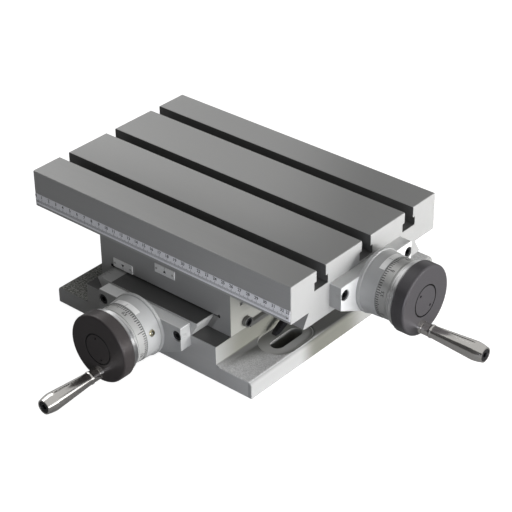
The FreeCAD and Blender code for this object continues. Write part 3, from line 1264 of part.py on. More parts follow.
def make_handle(axis):
    """Handle: a stud in the wheel, a turned grip that spins on it, and the screw that keeps it on."""
    frame = FRAMES[axis]
    place = frame.multiply(Placement(handle_point(axis), Rotation()))
    stud = new_body(f"{axis}_handle_stud", place)
    collar = d.stud_collar_radius
    collar_end = wheel_face + d.stud_collar_length
    groove = wheel_face + d.stud_foot_length
    groove_end = groove + d.stud_groove_width
    groove_floor = collar - d.stud_groove_depth
    root_start = wheel_face - d.stud_root_length
    root = d.stud_root_radius - d.seat_fit
    spindle_end = grip_end - d.grip_sink - d.stack_gap
    thread = d.grip_screw_radius + d.seat_fit
    thread_start = spindle_end - d.grip_screw_length
    turn(stud, [(root_start, 0), (root_start, root), (wheel_face, root), (wheel_face, d.stud_foot_radius),
                (groove, collar), (groove, groove_floor), (groove_end, groove_floor), (groove_end, collar),
                (collar_end, collar), (collar_end, d.stud_radius), (spindle_end, d.stud_radius),
                (spindle_end, thread), (thread_start, thread), (thread_start, 0)], "stud")
    node(stud, f"{axis}_handle_stud")

    grip = new_body(f"{axis}_handle_grip", place)
    bore = d.stud_radius + d.running_fit
    sink = d.grip_screw_head_radius + d.stack_gap
    root = d.grip_root_radius
    thick = grip_end - d.grip_taper
    cone = [(grip_start, bore), (grip_start, root - d.grip_edge), (grip_start + d.grip_edge, root),
            (grip_start + d.grip_bead, root), (grip_start + d.grip_waist_start, d.grip_waist_radius),
            (thick, d.grip_radius)]
    swell = d.grip_radius - d.grip_tip_radius
    dome = []
    for step in range(1, GRIP_STEPS):
        share = step / GRIP_STEPS
        lift = swell * cosine(as_size(QUARTER_TURN * share))
        dome.append((thick + d.grip_taper * share, d.grip_tip_radius + lift))
    end = [(grip_end, d.grip_tip_radius), (grip_end, sink), (grip_end - d.grip_sink, sink),
           (grip_end - d.grip_sink, bore)]
    turn(grip, cone + dome + end, "grip")
    node(grip, f"{axis}_handle_grip")

    at = handle_point(axis) + Vector(0, -(grip_end - d.grip_sink).value, 0)
    screw = cap_screw(frame, at, d.grip_screw_radius, d.grip_screw_length - OVERRUN,
                      d.grip_screw_head_radius, d.grip_sink - d.grip_screw_sink, f"{axis}_handle_screw")
    node(screw, f"{axis}_handle_screw")


# Rule and index plates

def make_rule():
    """Rule strip along the table's front, with a pin at each end."""
    front = d.saddle_rest - d.table_width / 2
    low = saddle_top + d.rule_rise
    at = Vector(d.table_rest.value, (front - d.rule_thickness / 2).value, low.value)
    strip = block(d.table_length - d.table_edge * 2, d.rule_thickness, d.rule_height,
                  Placement(at, Rotation()), "table_rule")
    node(strip, "table_rule")
    pins = []
    for side in (-1, 1):
        across = d.table_rest + (d.table_length / 2 - d.table_edge - d.rule_pin_inset) * side
        spot = Vector(across.value, (front - d.rule_thickness).value, (low + d.rule_pin_rise).value)
        pins.append(cylinder(d.rule_pin_radius, d.rule_pin_head, Placement(spot, FORWARD),
                             f"rule_pin_{side + 2}"))
    node(group(pins, "rule_pins"), "rule_pins")


def make_index_plates():
    pins = []
    in_casting = d.plate_pin_length - d.stack_gap
    length = in_casting + d.plate_thickness + d.plate_pin_head
    plate_middle = saddle_front - d.plate_thickness / 2
    for axis, across, above in (("y", d.y_plate_across, d.y_plate_rise),
                                ("x", d.x_plate_across, d.x_plate_rise)):
        rise = d.ledge_height + above
        at = Vector(across.value, plate_middle.value, (rise - d.plate_height / 2).value)
        plate = block(d.plate_length, d.plate_thickness, d.plate_height, Placement(at, Rotation()),
                      f"{axis}_plate_blank")
        holes = []
        for side, word in ((-0.5, "left"), (0.5, "right")):
            middle = across + d.plate_pin_pitch * side
            spot = Placement(Vector(middle.value, (saddle_front + in_casting).value, rise.value), FORWARD)
            pins.append(cylinder(d.plate_pin_radius, length, spot, f"plate_pin_{axis}_{word}"))
            holes.append(cylinder(d.plate_pin_radius + d.seat_fit, length, spot,
                                  f"plate_hole_{axis}_{word}"))
        node(less(plate, joined(holes, f"{axis}_plate_holes"), f"{axis}_index_plate"), f"{axis}_index_plate")
    node(group(pins, "index_plate_pins"), "index_plate_pins")


def write_nodes():
    """Check every object, then write each node's shape."""
    doc.recompute()
    for thing in doc.Objects:
        faults = [state for state in thing.State if state in ("Invalid", "Error")]
        if faults:
            raise RuntimeError(f"{thing.Label} is {faults}")
    labels = [thing.Label for thing in nodes]
    if len(set(labels)) != len(labels):
        raise RuntimeError("two nodes share a name")
    for thing in nodes:
        if thing.Shape.isNull() or not thing.Shape.isValid():
            raise RuntimeError(f"{thing.Label} has a bad shape")
        if not thing.Shape.Solids:
            raise RuntimeError(f"{thing.Label} has no solid")
    os.makedirs("parts", exist_ok=True)
    for thing in nodes:
        thing.Shape.exportStep(f"parts/{thing.Label}.step")
        box = thing.Shape.BoundBox
        print(f"{thing.Label}: {len(thing.Shape.Solids)} solid(s), {box.XLength:.1f} x {box.YLength:.1f} x "
              f"{box.ZLength:.1f} mm")


make_base()
make_saddle()
make_table()
make_gibs()
make_clamping()
make_nut("y", web_underside, d.y_screw_height, upwards=False)
make_nut("x", web_top, d.x_screw_height, upwards=True)
Y_REACH = d.base_depth / 2 + d.saddle_rest + d.y_travel_back + d.nut_length / 2 + d.screw_tail
X_REACH = table_right + d.x_travel_right + d.nut_length / 2 + d.screw_tail
for axis_name, screw_reach in (("y", Y_REACH), ("x", X_REACH)):
    make_bracket(axis_name)
    make_bearings(axis_name)
    make_screw(axis_name, screw_reach)
    make_dial(axis_name)
    make_handwheel(axis_name)
    make_handle(axis_name)
make_rule()
make_index_plates()
write_nodes()
print(f"{len(nodes)} nodes written")
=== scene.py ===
# %% [markdown]
# A cross slide table for a small mill or pillar drill, dressed for a studio picture. The machined
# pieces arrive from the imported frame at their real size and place. This lesson sets up the camera,
# gives each piece its finish, adds the graduations, plates and small pieces that the solid model
# leaves out, and then sets up the floor and the light. Measures carry MM, which turns millimetres
# into metres.

# %% Load the frame
import math
import bmesh
import bpy
from mathutils import Matrix, Vector


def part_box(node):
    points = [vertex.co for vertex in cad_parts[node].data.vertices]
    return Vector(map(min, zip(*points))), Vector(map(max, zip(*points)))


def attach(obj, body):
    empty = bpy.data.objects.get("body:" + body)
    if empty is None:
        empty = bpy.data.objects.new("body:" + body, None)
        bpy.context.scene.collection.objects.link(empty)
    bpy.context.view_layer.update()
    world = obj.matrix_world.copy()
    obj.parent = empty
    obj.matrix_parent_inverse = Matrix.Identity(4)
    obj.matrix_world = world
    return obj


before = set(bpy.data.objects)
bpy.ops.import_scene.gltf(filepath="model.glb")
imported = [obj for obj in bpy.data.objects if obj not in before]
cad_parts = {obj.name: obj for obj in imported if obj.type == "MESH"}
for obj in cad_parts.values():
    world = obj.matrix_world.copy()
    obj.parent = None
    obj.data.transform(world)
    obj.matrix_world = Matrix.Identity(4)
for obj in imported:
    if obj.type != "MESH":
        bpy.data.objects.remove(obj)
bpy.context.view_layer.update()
MM = 0.001


# %% [markdown]
# The camera comes first. Its place, turn and lens were worked out from the straight edges of the
# photographed table, so the picture can be laid over the photograph. Roll is the small tilt of the
# camera about its own line of sight.

# %% Camera
CAMERA_PLACE = Vector((0.93481, -1.05490, 0.91972))
CAMERA_AZIMUTH = math.radians(41.193)
CAMERA_ELEVATION = math.radians(32.100)
CAMERA_ROLL = math.radians(-0.787)
CAMERA_LENS = 117.16


def make_camera():
    a, e = CAMERA_AZIMUTH, CAMERA_ELEVATION
    back = Vector((math.sin(a) * math.cos(e), -math.cos(a) * math.cos(e), math.sin(e)))
    level = Vector((math.cos(a), math.sin(a), 0.0))
    above = back.cross(level)
    right = level * math.cos(CAMERA_ROLL) + above * math.sin(CAMERA_ROLL)
    up = back.cross(right)
    lens = bpy.data.cameras.new("studio_camera")
    lens.lens = CAMERA_LENS
    lens.sensor_width = 36.0
    lens.clip_start = 0.01
    camera = bpy.data.objects.new("studio_camera", lens)
    turn = Matrix((right, up, back)).transposed().to_4x4()
    camera.matrix_world = Matrix.Translation(CAMERA_PLACE) @ turn
    bpy.context.scene.collection.objects.link(camera)
    bpy.context.scene.camera = camera
    return camera


camera = make_camera()
print("camera", [round(c, 3) for c in camera.location])


# %% [markdown]
# The frame's meshes are loose triangles. A short geometry node tree merges them and smooths the
# shading everywhere but across sharp edges, so a turned boss looks round and a milled corner stays
# crisp. The mesh itself is left as it came.

# %% Smooth shading for the machined pieces
SHARP_ANGLE = math.radians(28.0)
SAME_POINT = 0.001 * MM


def smoothing_tree():
    tree = bpy.data.node_groups.new("merge_and_smooth", "GeometryNodeTree")
    tree.interface.new_socket("Geometry", in_out="INPUT", socket_type="NodeSocketGeometry")
    tree.interface.new_socket("Geometry", in_out="OUTPUT", socket_type="NodeSocketGeometry")
    start = tree.nodes.new("NodeGroupInput")
    merge = tree.nodes.new("GeometryNodeMergeByDistance")
    merge.inputs["Distance"].default_value = SAME_POINT
    angle = tree.nodes.new("GeometryNodeInputMeshEdgeAngle")
    sharp = tree.nodes.new("FunctionNodeCompare")
    sharp.data_type = "FLOAT"
    sharp.operation = "GREATER_THAN"
    sharp.inputs[1].default_value = SHARP_ANGLE
    edges = tree.nodes.new("GeometryNodeSetShadeSmooth")
    edges.domain = "EDGE"
    edges.inputs["Shade Smooth"].default_value = False
    faces = tree.nodes.new("GeometryNodeSetShadeSmooth")
    faces.domain = "FACE"
    end = tree.nodes.new("NodeGroupOutput")
    link = tree.links.new
    link(start.outputs[0], merge.inputs["Geometry"])
    link(angle.outputs["Unsigned Angle"], sharp.inputs[0])
    link(merge.outputs["Geometry"], faces.inputs["Geometry"])
    link(faces.outputs["Geometry"], edges.inputs["Geometry"])
    link(sharp.outputs[0], edges.inputs["Selection"])
    link(edges.outputs["Geometry"], end.inputs[0])
    return tree


smoothing = smoothing_tree()
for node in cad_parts.values():
    modifier = node.modifiers.new("merge_and_smooth", "NODES")
    modifier.node_group = smoothing
    weighting = node.modifiers.new("flat_faces_first", "WEIGHTED_NORMAL")
    weighting.mode = "FACE_AREA"
    weighting.keep_sharp = True
print("smoothed", len(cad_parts))


# %% [markdown]
# Effects that several finishes share are shader node groups. Each takes a place and gives out
# values that change over the surface: grinding lines for milled faces, grain for the rough skin
# of a casting, a slow mottle for handling and oil, and a mask for a painted highlight along edges.

# %% Shared effects
BROAD_LINES = 0.18
BROAD_SHARE = 0.35
PIT_DEPTH = 0.4
EDGE_WIDTH = 0.45 * MM


def shader_group(name, inputs, outputs):
    group = bpy.data.node_groups.new(name, "ShaderNodeTree")
    for label, kind, value in inputs:
        socket = group.interface.new_socket(label, in_out="INPUT", socket_type=kind)
        if value is not None:
            socket.default_value = value
    for label, kind in outputs:
        group.interface.new_socket(label, in_out="OUTPUT", socket_type=kind)
    return group, group.nodes.new("NodeGroupInput"), group.nodes.new("NodeGroupOutput")


def add_math(tree, operation, first, second=None, clamp=False):
    """A Math node whose inputs are sockets or plain numbers."""
    node = tree.nodes.new("ShaderNodeMath")
    node.operation = operation
    node.use_clamp = clamp
    for k, value in enumerate((first, second)):
        if isinstance(value, (int, float)):
            node.inputs[k].default_value = value
        elif value is not None:
            tree.links.new(value, node.inputs[k])
    return node.outputs[0]


def plus(tree, first, second, clamp=False):
    return add_math(tree, "ADD", first, second, clamp)


def minus(tree, first, second):
    return add_math(tree, "SUBTRACT", first, second)


def times(tree, first, second, clamp=False):
    return add_math(tree, "MULTIPLY", first, second, clamp)


def size_of(tree, value):
    """The value without its sign."""
    return add_math(tree, "ABSOLUTE", value)


def is_above(tree, value, edge):
    """1 where the value is greater than the edge, 0 elsewhere."""
    return add_math(tree, "GREATER_THAN", value, edge)


def is_below(tree, value, edge):
    """1 where the value is less than the edge, 0 elsewhere."""
    return add_math(tree, "LESS_THAN", value, edge)


def add_noise(tree, place, scale, detail, roughness=0.55):
    node = tree.nodes.new("ShaderNodeTexNoise")
    node.inputs["Detail"].default_value = detail
    node.inputs["Roughness"].default_value = roughness
    tree.links.new(place, node.inputs["Vector"])
    tree.links.new(scale, node.inputs["Scale"])
    return node.outputs["Fac"]


def make_grinding():
    group, start, end = shader_group(
        "grinding_lines", [("Place", "NodeSocketVector", None), ("Fineness", "NodeSocketFloat", 900.0)],
        [("Shade", "NodeSocketFloat"), ("Height", "NodeSocketFloat")])
    place, fineness = start.outputs["Place"], start.outputs["Fineness"]
    fine = add_noise(group, place, fineness, 3.0)
    broad = add_noise(group, place, times(group, fineness, BROAD_LINES), 2.0)
    both = plus(group, times(group, fine, 1.0 - BROAD_SHARE), times(group, broad, BROAD_SHARE))
    group.links.new(both, end.inputs["Shade"])
    group.links.new(fine, end.inputs["Height"])
    return group


def make_grain():
    group, start, end = shader_group(
        "cast_grain", [("Place", "NodeSocketVector", None), ("Scale", "NodeSocketFloat", 500.0)],
        [("Shade", "NodeSocketFloat"), ("Height", "NodeSocketFloat")])
    grain = add_noise(group, start.outputs["Place"], start.outputs["Scale"], 4.0, 0.7)
    pits = group.nodes.new("ShaderNodeTexVoronoi")
    group.links.new(start.outputs["Place"], pits.inputs["Vector"])
    group.links.new(start.outputs["Scale"], pits.inputs["Scale"])
    group.links.new(grain, end.inputs["Shade"])
    height = plus(group, grain, times(group, pits.outputs["Distance"], PIT_DEPTH))
    group.links.new(height, end.inputs["Height"])
    return group


def make_mottle():
    group, start, end = shader_group(
        "slow_mottle", [("Place", "NodeSocketVector", None), ("Scale", "NodeSocketFloat", 14.0)],
        [("Shade", "NodeSocketFloat")])
    shade = add_noise(group, start.outputs["Place"], start.outputs["Scale"], 3.0)
    group.links.new(shade, end.inputs["Shade"])
    return group


def make_edge_line():
    """White where the rounded normal leaves the flat one: a thin line along each edge, where a painted
    highlight lightens the colour.
    """
    group, start, end = shader_group(
        "painted_edge_highlight", [("Strength", "NodeSocketFloat", 2.5)],
        [("Mask", "NodeSocketFloat"), ("Normal", "NodeSocketVector")])
    rounded = group.nodes.new("ShaderNodeBevel")
    rounded.samples = 4
    rounded.inputs["Radius"].default_value = EDGE_WIDTH
    flat = group.nodes.new("ShaderNodeNewGeometry")
    dot = group.nodes.new("ShaderNodeVectorMath")
    dot.operation = "DOT_PRODUCT"
    group.links.new(rounded.outputs["Normal"], dot.inputs[0])
    group.links.new(flat.outputs["Normal"], dot.inputs[1])
    away = minus(group, 1.0, dot.outputs["Value"])
    mask = times(group, away, start.outputs["Strength"], clamp=True)
    group.links.new(mask, end.inputs["Mask"])
    group.links.new(rounded.outputs["Normal"], end.inputs["Normal"])
    return group


GRINDING = make_grinding()
GRAIN = make_grain()
MOTTLE = make_mottle()
EDGE_HIGHLIGHT = make_edge_line()
print("effects", [group.name for group in (GRINDING, GRAIN, MOTTLE, EDGE_HIGHLIGHT)])


# %% [markdown]
# Materials are built from a few short helpers. Where a look changes over a piece, such as the black
# ring round a handwheel's cap, a mask says where: it is worked out from the place of a point, in
# metres from the frame's origin, and is 1 inside and 0 outside.

# %% Material helpers
def empty_material(name):
    material = bpy.data.materials.new(name)
    material.use_nodes = True
    material.node_tree.nodes.clear()
    return material, material.node_tree


def set_surface(tree, shader):
    output = tree.nodes.new("ShaderNodeOutputMaterial")
    tree.links.new(shader.outputs[0], output.inputs["Surface"])


def new_material(name):
    material, tree = empty_material(name)
    shader = tree.nodes.new("ShaderNodeBsdfPrincipled")
    set_surface(tree, shader)
    return material, tree, shader


def add_group(tree, group, place, value_name=None, value=None):
    node = tree.nodes.new("ShaderNodeGroup")
    node.node_tree = group
    if place is not None:
        tree.links.new(place, node.inputs["Place"])
    if value_name is not None:
        node.inputs[value_name].default_value = value
    return node


def add_place(tree, stretch):
    """The place of a point, plain and stretched the way the tool ran."""
    coordinates = tree.nodes.new("ShaderNodeTexCoord")
    mapping = tree.nodes.new("ShaderNodeMapping")
    mapping.inputs["Scale"].default_value = stretch
    tree.links.new(coordinates.outputs["Object"], mapping.inputs["Vector"])
    return coordinates.outputs["Object"], mapping.outputs["Vector"]


def add_mix(tree, factor, first, second):
    """Mixes two colours, each a socket or a plain red, green, blue."""
    node = tree.nodes.new("ShaderNodeMix")
    node.data_type = "RGBA"
    tree.links.new(factor, node.inputs["Factor"])
    for k, value in ((6, first), (7, second)):
        if isinstance(value, tuple):
            node.inputs[k].default_value = value + (1.0,)
        else:
            tree.links.new(value, node.inputs[k])
    return node.outputs[2]


def add_range(tree, value, low, high):
    """Spreads a 0 to 1 value over low to high."""
    return plus(tree, times(tree, value, high - low), low)


def add_bump(tree, height, distance, normal=None):
    bump = tree.nodes.new("ShaderNodeBump")
    bump.inputs["Strength"].default_value = 1.0
    bump.inputs["Distance"].default_value = distance
    tree.links.new(height, bump.inputs["Height"])
    if normal is not None:
        tree.links.new(normal, bump.inputs["Normal"])
    return bump.outputs["Normal"]


def tone(colour, factor):
    return tuple(min(1.0, channel * factor) for channel in colour)


def add_axes(tree, place):
    node = tree.nodes.new("ShaderNodeSeparateXYZ")
    tree.links.new(place, node.inputs[0])
    return node.outputs


def step_mask(tree, value, edge, softness):
    """0 below the edge and 1 above it, with a soft step between."""
    node = tree.nodes.new("ShaderNodeMapRange")
    node.interpolation_type = "SMOOTHSTEP"
    node.inputs["From Min"].default_value = edge - softness
    node.inputs["From Max"].default_value = edge + softness
    tree.links.new(value, node.inputs["Value"])
    return node.outputs["Result"]


def all_of(tree, *masks):
    """1 where every mask is 1."""
    total = masks[0]
    for mask in masks[1:]:
        total = times(tree, total, mask)
    return total


def within(tree, value, low, high):
    """1 between two edges."""
    return times(tree, is_above(tree, value, low), is_below(tree, value, high))


def near(tree, value, middle, half_width):
    """1 within half a width of the middle."""
    return is_below(tree, size_of(tree, minus(tree, value, middle)), half_width)


def length_of(tree, first, second):
    """How far a point is from zero, by its two coordinates."""
    squares = plus(tree, times(tree, first, first), times(tree, second, second))
    return add_math(tree, "SQRT", squares)


def ring_mask(tree, place, middle, axis, radius, half_width):
    """1 on a ring round an axis."""
    x, y, z = add_axes(tree, place)
    across = minus(tree, x, middle.x) if axis == "y" else minus(tree, y, middle.y)
    return near(tree, length_of(tree, across, minus(tree, z, middle.z)), radius, half_width)


print("material helpers ready")


# %% [markdown]
# One maker builds most metal and paint finishes. Its grinding lines and its mottle mix a darker and
# a lighter tone, vary the roughness, and lift a very low bump. An edge mask can add a painted
# highlight along edges, and a bracket's faces get painted shade and light of their own: the ends of
# its ears, its plate and its boss.

# %% Finish maker
AXIS_PLACE = {"y": Vector((0.0, -140.75, 35.4)) * MM, "x": Vector((156.25, -11.75, 83.7)) * MM}
EAR_END = 53.1 * MM
PLATE_FROM = 13.0 * MM
BOSS_FROM = 13.7 * MM
GROOVE_BLACK = (0.006, 0.006, 0.006)
MOTTLE_SHARE = 0.35
# How much the painted edge highlight lightens the colour.
EDGE_HIGHLIGHT_LIFT = 1.7


def sprayed(tree, place, colour, tones, axis, on_ear, on_plate, on_boss):
    """Painted shade and light on a bracket's faces: the ends of its ears, the front of its plate, and its
    boss.
    """
    x, y = add_axes(tree, place)[:2]
    middle = AXIS_PLACE[axis]
    if axis == "y":
        out, across = minus(tree, middle.y, y), minus(tree, x, middle.x)
    else:
        out, across = minus(tree, x, middle.x), minus(tree, y, middle.y)
    tones = add_mix(tree, is_above(tree, size_of(tree, across), EAR_END), tones, tone(colour, on_ear))
    tones = add_mix(tree, is_above(tree, out, PLATE_FROM), tones, tone(colour, on_plate))
    return add_mix(tree, is_above(tree, out, BOSS_FROM), tones, tone(colour, on_boss))


def make_finish(name, colour, metallic, roughness, stretch=(1.0, 1.0, 1.0), fineness=900.0, contrast=0.12,
                rough_spread=0.08, bump=0.004, edge=0.0, coat=0.0, groove=None, faces_shade_and_light=None):
    """A groove is what ring_mask takes after the place. The last argument gives a bracket's faces painted
    shade and light: the axis, then factors for ear ends, plate front and boss.
    """
    material, tree, shader = new_material(name)
    plain, stretched = add_place(tree, stretch)
    lines = add_group(tree, GRINDING, stretched, "Fineness", fineness)
    mottle = add_group(tree, MOTTLE, plain, "Scale", 14.0)
    darker = tone(colour, 1.0 - contrast)
    tones = add_mix(tree, lines.outputs["Shade"], darker, tone(colour, 1.0 + contrast))
    tones = add_mix(tree, times(tree, mottle.outputs["Shade"], MOTTLE_SHARE), tones, darker)
    shader.inputs["Metallic"].default_value = metallic
    shader.inputs["Coat Weight"].default_value = coat
    rough = add_range(tree, lines.outputs["Shade"], roughness - rough_spread, roughness + rough_spread)
    tree.links.new(rough, shader.inputs["Roughness"])
    normal = None
    if edge > 0.0:
        # Painted highlight: the edge mask lightens the colour along edges, and its rounded normal feeds the
        # bump.
        line = add_group(tree, EDGE_HIGHLIGHT, None, "Strength", 2.5)
        highlight_mask = times(tree, line.outputs["Mask"], edge)
        tones = add_mix(tree, highlight_mask, tones, tone(colour, EDGE_HIGHLIGHT_LIFT))
        normal = line.outputs["Normal"]
    if faces_shade_and_light:
        tones = sprayed(tree, plain, colour, tones, *faces_shade_and_light)
    if groove:
        tones = add_mix(tree, ring_mask(tree, plain, *groove), tones, GROOVE_BLACK)
    tree.links.new(tones, shader.inputs["Base Color"])
    tree.links.new(add_bump(tree, lines.outputs["Height"], bump * MM, normal), shader.inputs["Normal"])
    return material


print("finish maker ready")


# %% [markdown]
# Cast iron shows two skins. Sliding and clamping faces are ground to a fine grey with lines along
# the stroke. The top of the base's flange keeps the skin of the sand mould: dark and coarse on
# the left, and roughly filed on the right, where it was dressed for the clamping bolts. Beyond a
# slanting line the filed patch and the bolt seats are darkened as a painted shadow of the table and
# the right-hand bracket. Painted shade also darkens the rail's top, the ledges and the block's right
# side, painted light lifts the right half of the front, a painted shadow crosses the flange's right
# side, and a painted highlight runs round the outer side of each bolt seat. Edges are written as a
# place and the softness of the step there.

# %% Iron of the base
IRON = (0.40, 0.40, 0.395)
SHADY = (0.50, 0.50, 0.44)
SKIN_DARK = (0.085, 0.085, 0.078)
SKIN_LIGHT = (0.33, 0.335, 0.31)
FILED_BRIGHT = (1.0, 1.0, 1.0)
FILED_SPECKLE_AND_SHADE = (0.155, 0.155, 0.150)
SEAT_BRIGHT = (0.56, 0.56, 0.55)
SEAT_SHADED = (0.20, 0.20, 0.19)
FLANGE_TOP = 17.2 * MM
FLANGE_SIDE = 123.0 * MM
FLANGE_FRONT = -140.4 * MM
BLOCK_SIDE = 84.0 * MM
LEDGE_TOP = 38.5 * MM
RAIL_TOP = 54.2 * MM
SCALE_LEFT = -67.4 * MM
SCALE_RIGHT = -49.5 * MM
SCALE_STROKES = ((1.0 * MM, 0.28, 3.4 * MM), (5.0 * MM, 0.06, 5.0 * MM), (10.0 * MM, 0.035, 6.6 * MM))
SEAT_MIDDLE = Vector((103.7, 63.5)) * MM
SEAT_HALF = 17.6 * MM
SEAT_STRAIGHT = 12.9 * MM
SEAT_RIM = 0.50 * MM
RIGHT_HALF = (0.0, 10.0 * MM)
# Edges of the painted shade on the block's side, the painted light on the flange's front and the painted
# shadow across the flange's right side.
BLOCK_DARKENS = (-126.0 * MM, 24.0 * MM)
FRONT_LIGHTENS = (60.0 * MM, 80.0 * MM)
SHADOW_BAND_STARTS = (-56.0 * MM, 16.0 * MM)
SHADOW_BAND_ENDS = (8.0 * MM, 22.0 * MM)
FLANGE_SHADOW_ENDS = (104.0 * MM, 16.0 * MM)
CAST_PATCHES = (0.62, 0.10)
SKIN_GRAIN = 520.0
FILED_GRAIN = 900.0
LOW_PART_DULLER = 0.25
SEAT_FLOOR = 12.0 * MM
SEAT_BOX = (83.0 * MM, 123.4 * MM, -139.0 * MM)
SLANT = -2.6
UNEVEN = 18.0 * MM


def on_slant(across, along):
    """The value of the slanting line through a point in millimetres."""
    return (along + SLANT * across) * MM


# Where the painted shadow on the filed patch and on the bolt seats begins, along the slanting line.
FLANGE_SHADOW_STARTS = (on_slant(92.0, -124.0), 26.0 * MM)
SEAT_SHADOW_STARTS = (on_slant(92.0, -96.0), 40.0 * MM)


def iron_times(factors):
    return tuple(channel * factor for channel, factor in zip(IRON, factors))


def add_sum(tree, first, second, weight):
    """first + second times a weight."""
    return plus(tree, first, times(tree, second, weight))


def scale_strokes(tree, x, y):
    """Engraved strokes of the lower scale: each millimetre, longer at fives and tens."""
    total = None
    for pitch, width, reach in SCALE_STROKES:
        part = add_math(tree, "FRACT", add_math(tree, "DIVIDE", y, pitch))
        stroke = times(tree, is_below(tree, part, width), is_below(tree, x, SCALE_LEFT + reach))
        total = stroke if total is None else add_math(tree, "MAXIMUM", total, stroke)
    return total


def milled_tops(tree, x, y, z, tones):
    """The milled flats, with the rail's top and the ledges darkened as painted shade, and the lower scale
    with its strokes along the rail's left edge.
    """
    rail = is_above(tree, z, RAIL_TOP - 0.15 * MM)
    ledge = within(tree, z, LEDGE_TOP - 0.5 * MM, LEDGE_TOP + 0.6 * MM)
    scale = times(tree, rail, is_below(tree, x, SCALE_RIGHT))
    tones = add_mix(tree, rail, tones, tone(IRON, 0.14))
    tones = add_mix(tree, ledge, tones, tone(IRON, 0.20))
    tones = add_mix(tree, scale, tones, tone(IRON, 0.80))
    return add_mix(tree, times(tree, scale, scale_strokes(tree, x, y)), tones, tone(IRON, 0.12))


def shaded_sides(tree, x, y, z, right_half, tones):
    """Painted shade on the block's right side, painted light on the right half of the flange's front, and on
    the flange's right side a painted shadow with painted light round it.
    """
    block = all_of(tree, right_half, is_below(tree, z, LEDGE_TOP), is_above(tree, x, BLOCK_SIDE - 0.6 * MM))
    darkened = add_range(tree, step_mask(tree, y, *BLOCK_DARKENS), 0.20, 1.0)
    tones = add_mix(tree, times(tree, block, darkened), tones, iron_times(SHADY))
    front = times(tree, is_below(tree, y, FLANGE_FRONT), step_mask(tree, x, *FRONT_LIGHTENS))
    tones = add_mix(tree, front, tones, tone(IRON, 1.45))
    side = is_above(tree, x, FLANGE_SIDE)
    fading = add_range(tree, step_mask(tree, y, *SHADOW_BAND_ENDS), 1.0, 0.2)
    band = all_of(tree, side, step_mask(tree, y, *SHADOW_BAND_STARTS), fading)
    tones = add_mix(tree, times(tree, side, minus(tree, 1.0, band)), tones, tone(IRON, 1.06))
    return add_mix(tree, band, tones, tone(iron_times(SHADY), 0.86))


def bolt_seats(tree, x, y, z, slanted, tones):
    """The milled floors of the right-hand bolt seats, darker beyond the slanting line as painted shadow."""
    inner, outer, front = SEAT_BOX
    seat = all_of(tree, within(tree, z, SEAT_FLOOR, FLANGE_TOP - 0.6 * MM), within(tree, x, inner, outer),
                  is_above(tree, y, front))
    floor = add_mix(tree, step_mask(tree, slanted, *SEAT_SHADOW_STARTS), SEAT_BRIGHT, SEAT_SHADED)
    return add_mix(tree, seat, tones, floor)


def seat_rim(tree, x, y, z):
    """1 on the outer side of each bolt seat's edge, where a painted highlight goes."""
    across = minus(tree, size_of(tree, x), SEAT_MIDDLE.x)
    along = minus(tree, size_of(tree, y), SEAT_MIDDLE.y)
    past = add_math(tree, "MAXIMUM", minus(tree, size_of(tree, along), SEAT_STRAIGHT), 0.0)
    ring = near(tree, length_of(tree, across, past), SEAT_HALF - SEAT_RIM, SEAT_RIM)
    return all_of(tree, ring, step_mask(tree, across, 4.0 * MM, 4.0 * MM),
                  within(tree, z, FLANGE_TOP - 1.5 * MM, FLANGE_TOP + 1.0 * MM))


def flange_skin(tree, x, z):
    """1 on the flange's top outside the block."""
    above = step_mask(tree, z, FLANGE_TOP - 0.5 * MM, 0.2 * MM)
    below = step_mask(tree, times(tree, z, -1.0), -(FLANGE_TOP + 3.0 * MM), 0.6 * MM)
    outside = step_mask(tree, size_of(tree, x), BLOCK_SIDE + 1.0 * MM, 0.5 * MM)
    return all_of(tree, above, below, outside)


def base_looks(tree, place, iron):
    x, y, z = add_axes(tree, place)
    mottle = iron["mottle"]
    grain = add_group(tree, GRAIN, place, "Scale", SKIN_GRAIN)
    speckle = add_group(tree, GRAIN, place, "Scale", FILED_GRAIN)
    right_half = step_mask(tree, x, *RIGHT_HALF)
    patches = step_mask(tree, add_sum(tree, grain.outputs["Shade"], mottle, 0.25), *CAST_PATCHES)
    rough_skin = add_mix(tree, patches, SKIN_DARK, SKIN_LIGHT)
    slanted = plus(tree, add_range(tree, mottle, -UNEVEN, UNEVEN), add_sum(tree, y, x, SLANT))
    # Painted shadow of the table and the right-hand bracket over the filed patch, weaker at the far end; the
    # dark speckle is grain.
    painted_shadow = times(tree, step_mask(tree, slanted, *FLANGE_SHADOW_STARTS),
                 add_range(tree, step_mask(tree, y, *FLANGE_SHADOW_ENDS), 1.0, 0.25))
    filed = add_mix(tree, painted_shadow, FILED_BRIGHT, FILED_SPECKLE_AND_SHADE)
    filed = add_mix(tree, add_range(tree, speckle.outputs["Shade"], -0.25, 1.0), filed, FILED_SPECKLE_AND_SHADE)
    tones = milled_tops(tree, x, y, z, iron["tones"])
    tones = shaded_sides(tree, x, y, z, right_half, tones)
    tones = bolt_seats(tree, x, y, z, slanted, tones)
    skin = flange_skin(tree, x, z)
    tones = add_mix(tree, skin, tones, add_mix(tree, right_half, rough_skin, filed))
    # A painted highlight along the outer side of each bolt seat's edge.
    rim_highlight = times(tree, seat_rim(tree, x, y, z), right_half)
    iron["tones"] = add_mix(tree, rim_highlight, tones, tone(IRON, 2.0))
    coarse = times(tree, skin, minus(tree, 1.1, right_half))
    iron["height"] = add_sum(tree, iron["height"], grain.outputs["Height"], coarse)
    low_part = is_below(tree, z, FLANGE_TOP + 2.0 * MM)
    iron["rough"] = plus(tree, iron["rough"], times(tree, low_part, LOW_PART_DULLER), clamp=True)


# The painted shadow on the flange starts at this slanting line.
print("filed patch fades at", FLANGE_SHADOW_STARTS)


